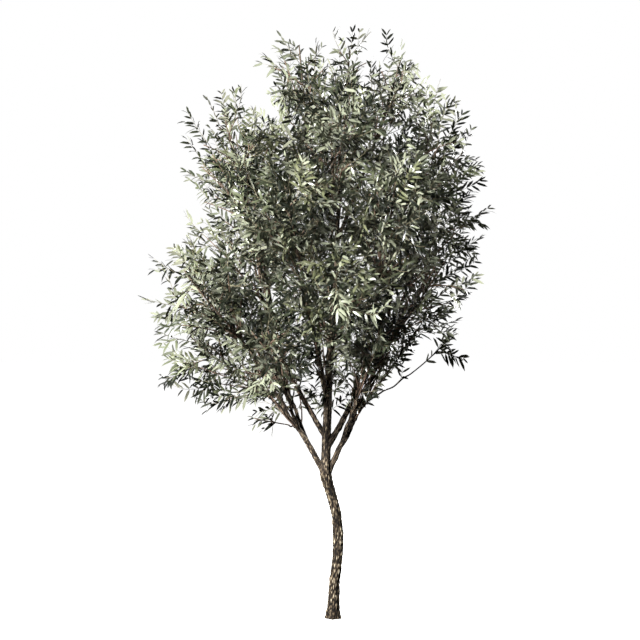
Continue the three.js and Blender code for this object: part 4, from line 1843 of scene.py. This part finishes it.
@dataclass(frozen=True)
class Wood:
    """The trunk and the boughs, each a column with the relief of its own age."""

    trunk_relief: Relief = Relief(
        plate_width=10, plate_length=46, depth=6, lump_width=90, lump_depth=9
    )
    bough_relief: Relief = Relief(
        plate_width=9, plate_length=46, depth=3.4, lump_width=70, lump_depth=6
    )
    limb_relief: Relief = Relief(
        plate_width=9, plate_length=36, depth=1.6, lump_width=50, lump_depth=3
    )
    main_girth: float = 18
    trunk_bark: Bark = Bark(
        name="fissured_olive_bark",
        # the fissures' floor: near-black painted shade over the bark's own dark colour
        fissure="#0a0704",
        flank="#2b2219",
        plate="#6b5e4b",
        fleck="#bfb49c",
        stain="#9e9488",
        stain_width=90,
        fibre_width=9,
        grit=2,
        roughness=0.9,
    )
    bough_bark: Bark = Bark(
        name="young_olive_bark",
        # the fissures' floor: near-black painted shade over the bark's own dark colour
        fissure="#100b07",
        flank="#362d24",
        plate="#675a49",
        fleck="#a89b84",
        stain="#8f8375",
        stain_width=50,
        fibre_width=8,
        grit=1,
        roughness=0.85,
    )

    def build(self, limbs: dict[str, Limb]) -> None:
        """Models the trunk and every limb."""
        trunk = Column(
            name="trunk",
            line=TrunkLine(),
            radius_at=trunk_radius_mean,
            relief=self.trunk_relief,
            sides=20,
            ring_step=17,
            root=20,
            crest=12,
            root_shrink=1.0,
            wander=5,
            seed=11,
            twist=50,
            lobed=True,
        )
        report(trunk.build(self.trunk_bark.material(), "bark"))
        bark = self.bough_bark.material()
        for i, (name, limb) in enumerate(limbs.items()):
            main = limb.foot > self.main_girth
            column = Column(
                name=name,
                line=limb.line,
                radius_at=limb.radius_at,
                relief=self.bough_relief if main else self.limb_relief,
                sides=8 if main else 6,
                ring_step=36 if main else 50,
                root=min(20, limb.foot),
                crest=4,
                root_shrink=0.8,
                wander=13 if main else 15,
                seed=20 + i,
            )
            report(column.build(bark, "bough_bark"))


def trunk_radius_mean(share: float) -> float:
    """The trunk's radius at a share of its height, without the lobes of its foot."""
    return trunk_radius(share, math.pi / (2 * TRUNK.lobes))


def report(piece: bpy.types.Object) -> None:
    """Reports a finished piece."""
    log.info("%s: %d faces", piece.name, len(piece.data.polygons))


# ---------------------------------------------------------------- twigs and leaves as joined meshes


def mesh_piece(
    name: str,
    points: Points,
    faces: np.ndarray,
    finishes: np.ndarray,
    materials: list[bpy.types.Material],
) -> bpy.types.Object:
    """A piece from arrays.

    Args:
        name: The piece's name.
        points: Its points in mm.
        faces: Three places of points for each triangle.
        finishes: The place of each triangle's material.
        materials: The materials.

    Returns:
        The piece, smooth shaded.
    """
    mesh = bpy.data.meshes.new(name)
    mesh.vertices.add(len(points))
    mesh.vertices.foreach_set("co", (points * MM).astype(np.float32).ravel())
    mesh.loops.add(faces.size)
    mesh.loops.foreach_set("vertex_index", faces.astype(np.int32).ravel())
    mesh.polygons.add(len(faces))
    mesh.polygons.foreach_set("loop_start", np.arange(0, faces.size, 3, dtype=np.int32))
    mesh.polygons.foreach_set("material_index", finishes.astype(np.int32))
    mesh.polygons.foreach_set("use_smooth", np.ones(len(faces), bool))
    mesh.update(calc_edges=True)
    for material in materials:
        mesh.materials.append(material)
    piece = bpy.data.objects.new(name, mesh)
    bpy.context.collection.objects.link(piece)
    return piece


@dataclass(frozen=True)
class TwigMesh:
    """The twigs of one mass, joined: stem, branches and shoots as tapering tubes."""

    stem_sides: int = 7
    stem_steps: int = 9
    branch_sides: int = 5
    branch_steps: int = 6
    shoot_sides: int = 3

    def build(
        self, growth: Growth, foliage: Foliage, materials: list[bpy.types.Material]
    ) -> bpy.types.Object:
        """Makes the piece and sets it in the frame.

        Args:
            growth: The mass's stem and its name.
            foliage: Its branches and shoots.
            materials: The finishes of stem, branches and shoots.

        Returns:
            The piece.
        """
        groups = (
            ([growth.stem], self.stem_sides, self.stem_steps, 0),
            (foliage.branches, self.branch_sides, self.branch_steps, 1),
            (foliage.made.twigs, self.shoot_sides, SHOOT.steps, 2),
        )
        points, faces, finishes, offset = [], [], [], 0
        for twigs, sides, steps, finish in groups:
            if not twigs:
                continue
            group_points, group_faces = self._tubes(twigs, sides, steps)
            points.append(group_points)
            faces.append(group_faces + offset)
            finishes.append(np.full(len(group_faces), finish))
            offset += len(group_points)
        name = f"{growth.space.name}_twigs"
        piece = mesh_piece(
            name, np.concatenate(points), np.concatenate(faces), np.concatenate(finishes), materials
        )
        place(piece, growth.space.name, "foliage")
        return piece

    @staticmethod
    def _tubes(twigs: list[Twig], sides: int, steps: int) -> tuple[Points, np.ndarray]:
        """Closed tubes along several twigs.

        Args:
            twigs: The twigs.
            sides: How many sides each tube has.
            steps: How many lengths it is made in.

        Returns:
            Their points in mm and their triangles.
        """
        shares = np.linspace(0, 1, steps + 1)
        lines = np.array([twig.line.points(shares) for twig in twigs])
        ways = np.array([twig.line.headings(shares) for twig in twigs])
        reference = np.array([square_to(unit(line[-1] - line[0])) for line in lines])[:, None, :]
        u = unit(reference - ways * (reference * ways).sum(axis=2, keepdims=True))
        v = np.cross(ways, u)
        radii = np.array([[twig.radius_at(float(s)) for s in shares] for twig in twigs])
        angles = np.linspace(0, 2 * math.pi, sides, endpoint=False)
        spokes = u[:, :, None, :] * np.cos(angles)[:, None] + v[:, :, None, :] * np.sin(angles)[:, None]
        rings = lines[:, :, None, :] + spokes * radii[:, :, None, None]
        count = len(twigs)
        points = np.concatenate([rings.reshape(count, -1, 3), lines[:, :1], lines[:, -1:]], axis=1)
        faces = []
        for step in range(steps):
            for side in range(sides):
                a, b = step * sides + side, step * sides + (side + 1) % sides
                c, d = a + sides, b + sides
                faces += [(a, b, d), (a, d, c)]
        foot, tip = (steps + 1) * sides, (steps + 1) * sides + 1
        for side in range(sides):
            after = (side + 1) % sides
            faces += [(foot, after, side), (tip, steps * sides + side, steps * sides + after)]
        faces = np.array(faces)[None] + np.arange(count)[:, None, None] * points.shape[1]
        return points.reshape(-1, 3), faces.reshape(-1, 3)


@dataclass(frozen=True)
class LeafMesh:
    """The leaves of one mass, joined. A leaf is a closed lance shape with a raised middle line.

    The outline goes from the foot up one side to the tip and down the other, at two stations.
    """

    stations: tuple[float, float] = (0.25, 0.7)
    widths: tuple[float, float] = (0.92, 0.86)
    arch: tuple[float, float, float] = (0.03, 0.02, -0.05)

    def template(self) -> tuple[Points, np.ndarray, np.ndarray]:
        """One leaf of length 1 along X: its points, its triangles and which of them are underneath."""
        (near, far), (near_width, far_width) = self.stations, self.widths
        near_rise, far_rise, tip_rise = self.arch
        half = 0.5 / LEAF.slimness
        points = np.array(
            [
                (0, 0, 0),
                (near, half * near_width, near_rise),
                (far, half * far_width, far_rise),
                (1, 0, tip_rise),
                (far, -half * far_width, far_rise),
                (near, -half * near_width, near_rise),
                (near, 0, near_rise + LEAF.keel),
                (far, 0, far_rise + LEAF.keel),
            ]
        )
        top = [(0, 6, 1), (6, 7, 2), (6, 2, 1), (7, 3, 2), (0, 5, 6), (5, 4, 7), (5, 7, 6), (4, 3, 7)]
        under = [(0, 1, 5), (1, 2, 4), (1, 4, 5), (2, 3, 4)]
        faces = np.array(top + under)
        return points, faces, np.array([False] * len(top) + [True] * len(under))

    def build(
        self, name: str, shoots: Shoots, materials: list[bpy.types.Material]
    ) -> bpy.types.Object:
        """Makes the piece and sets it in the frame.

        Args:
            name: The name of the mass.
            shoots: Its shoots, which hold the leaves.
            materials: The finishes of upper sides, then of undersides.

        Returns:
            The piece.
        """
        template, triangles, underneath = self.template()
        bases, x, z, lengths, tops, undersides = shoots.joined()
        y = np.cross(z, x)
        shape = (
            template[:, 0, None] * x[:, None, :]
            + template[:, 1, None] * y[:, None, :]
            + template[:, 2, None] * z[:, None, :]
        )
        sag = LEAF.sag * template[:, 0, None] ** 2 * UP
        points = bases[:, None, :] + (shape - sag[None]) * lengths[:, None, None]
        faces = triangles[None] + np.arange(len(bases))[:, None, None] * len(template)
        finishes = np.where(underneath[None], undersides[:, None] + len(TOPS), tops[:, None])
        piece = mesh_piece(
            f"{name}_leaves",
            points.reshape(-1, 3),
            faces.reshape(-1, 3),
            finishes.ravel(),
            materials,
        )
        self._crease(piece, len(template))
        place(piece, name, "foliage")
        return piece

    @staticmethod
    def _crease(piece: bpy.types.Object, size: int) -> None:
        """Marks the outline of every leaf sharp, so that its two sides are shaded apart."""
        mesh = piece.data
        ends = np.empty(2 * len(mesh.edges), np.int32)
        mesh.edges.foreach_get("vertices", ends)
        ends = np.sort(ends.reshape(-1, 2) % size, axis=1)
        outline = {(0, 1), (1, 2), (2, 3), (3, 4), (4, 5), (0, 5)}
        codes = ends[:, 0] * size + ends[:, 1]
        sharp = np.isin(codes, [a * size + b for a, b in outline])
        attributes = mesh.attributes
        marks = attributes.get("sharp_edge") or attributes.new("sharp_edge", "BOOLEAN", "EDGE")
        marks.data.foreach_set("value", sharp)


# ---------------------------------------------------------------- studio


@dataclass(frozen=True)
class Studio:
    """A plain pale floor, soft light and a level camera in front of the tree. In metres."""

    distance: float = 10.0
    view_height: float = 4.512
    eye_height: float = 2.101
    eye_across: float = -0.0945
    sensor: float = 36.0
    floor_size: float = 120.0
    key_power: float = 5200.0
    key_size: float = 1.6
    key_place: tuple[float, float, float] = (-7.0, -7.7, 5.3)
    fill_power: float = 2600.0
    fill_size: float = 5.0
    fill_place: tuple[float, float, float] = (6.5, 7.5, 4.5)
    aim: tuple[float, float, float] = (0.0, 0.0, 2.3)
    dome_strength: float = 0.06
    dome_spread: float = 160.0

    def build(self) -> None:
        """Builds the floor, the lights and the camera."""
        self._floor()
        self._sky()
        self._lights()
        self._camera()
        bpy.context.scene.view_settings.view_transform = "Standard"

    def _floor(self) -> None:
        """A white floor, lit through from below as a light table is, so that no shadow shows on it."""
        deselect()
        bpy.ops.mesh.primitive_plane_add(size=self.floor_size)
        floor = bpy.context.object
        floor.name = "studio_floor"
        values = {
            "Base Color": linear("#f7f7f7"),
            "Roughness": 0.9,
            "Emission Color": linear("#ffffff"),
            "Emission Strength": 1.0,
        }
        floor.data.materials.append(plain_material("white_acrylic_floor", values))
        floor.visible_diffuse = False
        floor.visible_glossy = False
        floor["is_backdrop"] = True

    def _sky(self) -> None:
        """A white backdrop all round that gives no light of its own."""
        world = bpy.data.worlds.new("studio")
        world.use_nodes = True
        world.node_tree.nodes.clear()
        sky = add_node(
            world.node_tree, "ShaderNodeBackground", values={"Color": linear("#ffffff"), "Strength": 1.0}
        )
        add_node(world.node_tree, "ShaderNodeOutputWorld", links={"Surface": sky.outputs[0]})
        world.cycles_visibility.diffuse = False
        world.cycles_visibility.glossy = False
        bpy.context.scene.world = world

    def _lights(self) -> None:
        """A soft box up and to the left in front, a wider one behind, and a faint dome overhead."""
        self._soft_box("key", self.key_power, self.key_size, self.key_place)
        self._soft_box("back_fill", self.fill_power, self.fill_size, self.fill_place)
        dome_data = bpy.data.lights.new("dome", "SUN")
        dome_data.energy = self.dome_strength
        dome_data.angle = math.radians(self.dome_spread)
        dome = bpy.data.objects.new("dome", dome_data)
        bpy.context.collection.objects.link(dome)
        dome.rotation_euler = facing_angles(np.array([0.5, 0.5, -1.0]))

    def _soft_box(self, name: str, power: float, size: float, stand: tuple[float, float, float]) -> None:
        """A square soft box that looks at the middle of the tree.

        Args:
            name: The light's name.
            power: Its power in watts.
            size: The length of its side.
            stand: Where it stands.
        """
        data = bpy.data.lights.new(name, "AREA")
        data.energy = power
        data.size = size
        light = bpy.data.objects.new(name, data)
        bpy.context.collection.objects.link(light)
        light.location = stand
        light.rotation_euler = facing_angles(np.array(self.aim) - np.array(stand))

    def _camera(self) -> None:
        """A level camera whose frame has the given height at the trunk."""
        data = bpy.data.cameras.new("camera")
        data.sensor_width = self.sensor
        data.lens = self.sensor * self.distance / self.view_height
        camera = bpy.data.objects.new("camera", data)
        bpy.context.collection.objects.link(camera)
        camera.location = (self.eye_across, -self.distance, self.eye_height)
        camera.rotation_euler = (math.pi / 2, 0, 0)
        bpy.context.scene.camera = camera


def facing_angles(way: Vector) -> tuple[float, float, float]:
    """The Euler angles of a light that shines along a direction."""
    flat = math.hypot(way[0], way[1])
    return (math.atan2(flat, -way[2]), 0.0, math.atan2(way[1], way[0]) - math.pi / 2)


# ---------------------------------------------------------------- the tree


def write_sizes() -> None:
    """Works out the CAD box and the dressed tree's box as plain lists; nothing is written."""
    boxes = {"cad": CAD_BOX, "visual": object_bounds()}
    plain = {name: [[float(x) for x in corner] for corner in box] for name, box in boxes.items()}


def main() -> None:
    """Grows the tree, dresses it and sets it in the studio."""
    logging.basicConfig(level=logging.INFO, format="%(message)s")
    crown = Crown()
    limbs = lay_out_limbs(crown)
    feeders = {rule.mass: limbs[rule.name] for rule in LIMBS}
    stems = {name: stem_of(crown.spaces[name], limb) for name, limb in feeders.items()}
    obstacles = Obstacles(limbs, stems)
    Wood().build(limbs)
    skins = Skins()
    leaf_materials = skins.leaf_materials()
    twig_materials = skins.twig_materials()
    leaves = 0
    for name, space in crown.spaces.items():
        growth = Growth(crown, space, feeders[name], stems[name], obstacles)
        foliage = Foliage(growth)
        shoots = foliage.made
        report(TwigMesh().build(growth, foliage, twig_materials))
        report(LeafMesh().build(name, shoots, leaf_materials))
        leaves += shoots.leaf_count()
        log.info("%s: %d shoots and %d leaves", name, len(shoots.twigs), shoots.leaf_count())
    log.info("%d leaves", leaves)
    Studio().build()
    write_sizes()


if __name__ == "__main__":
    main()
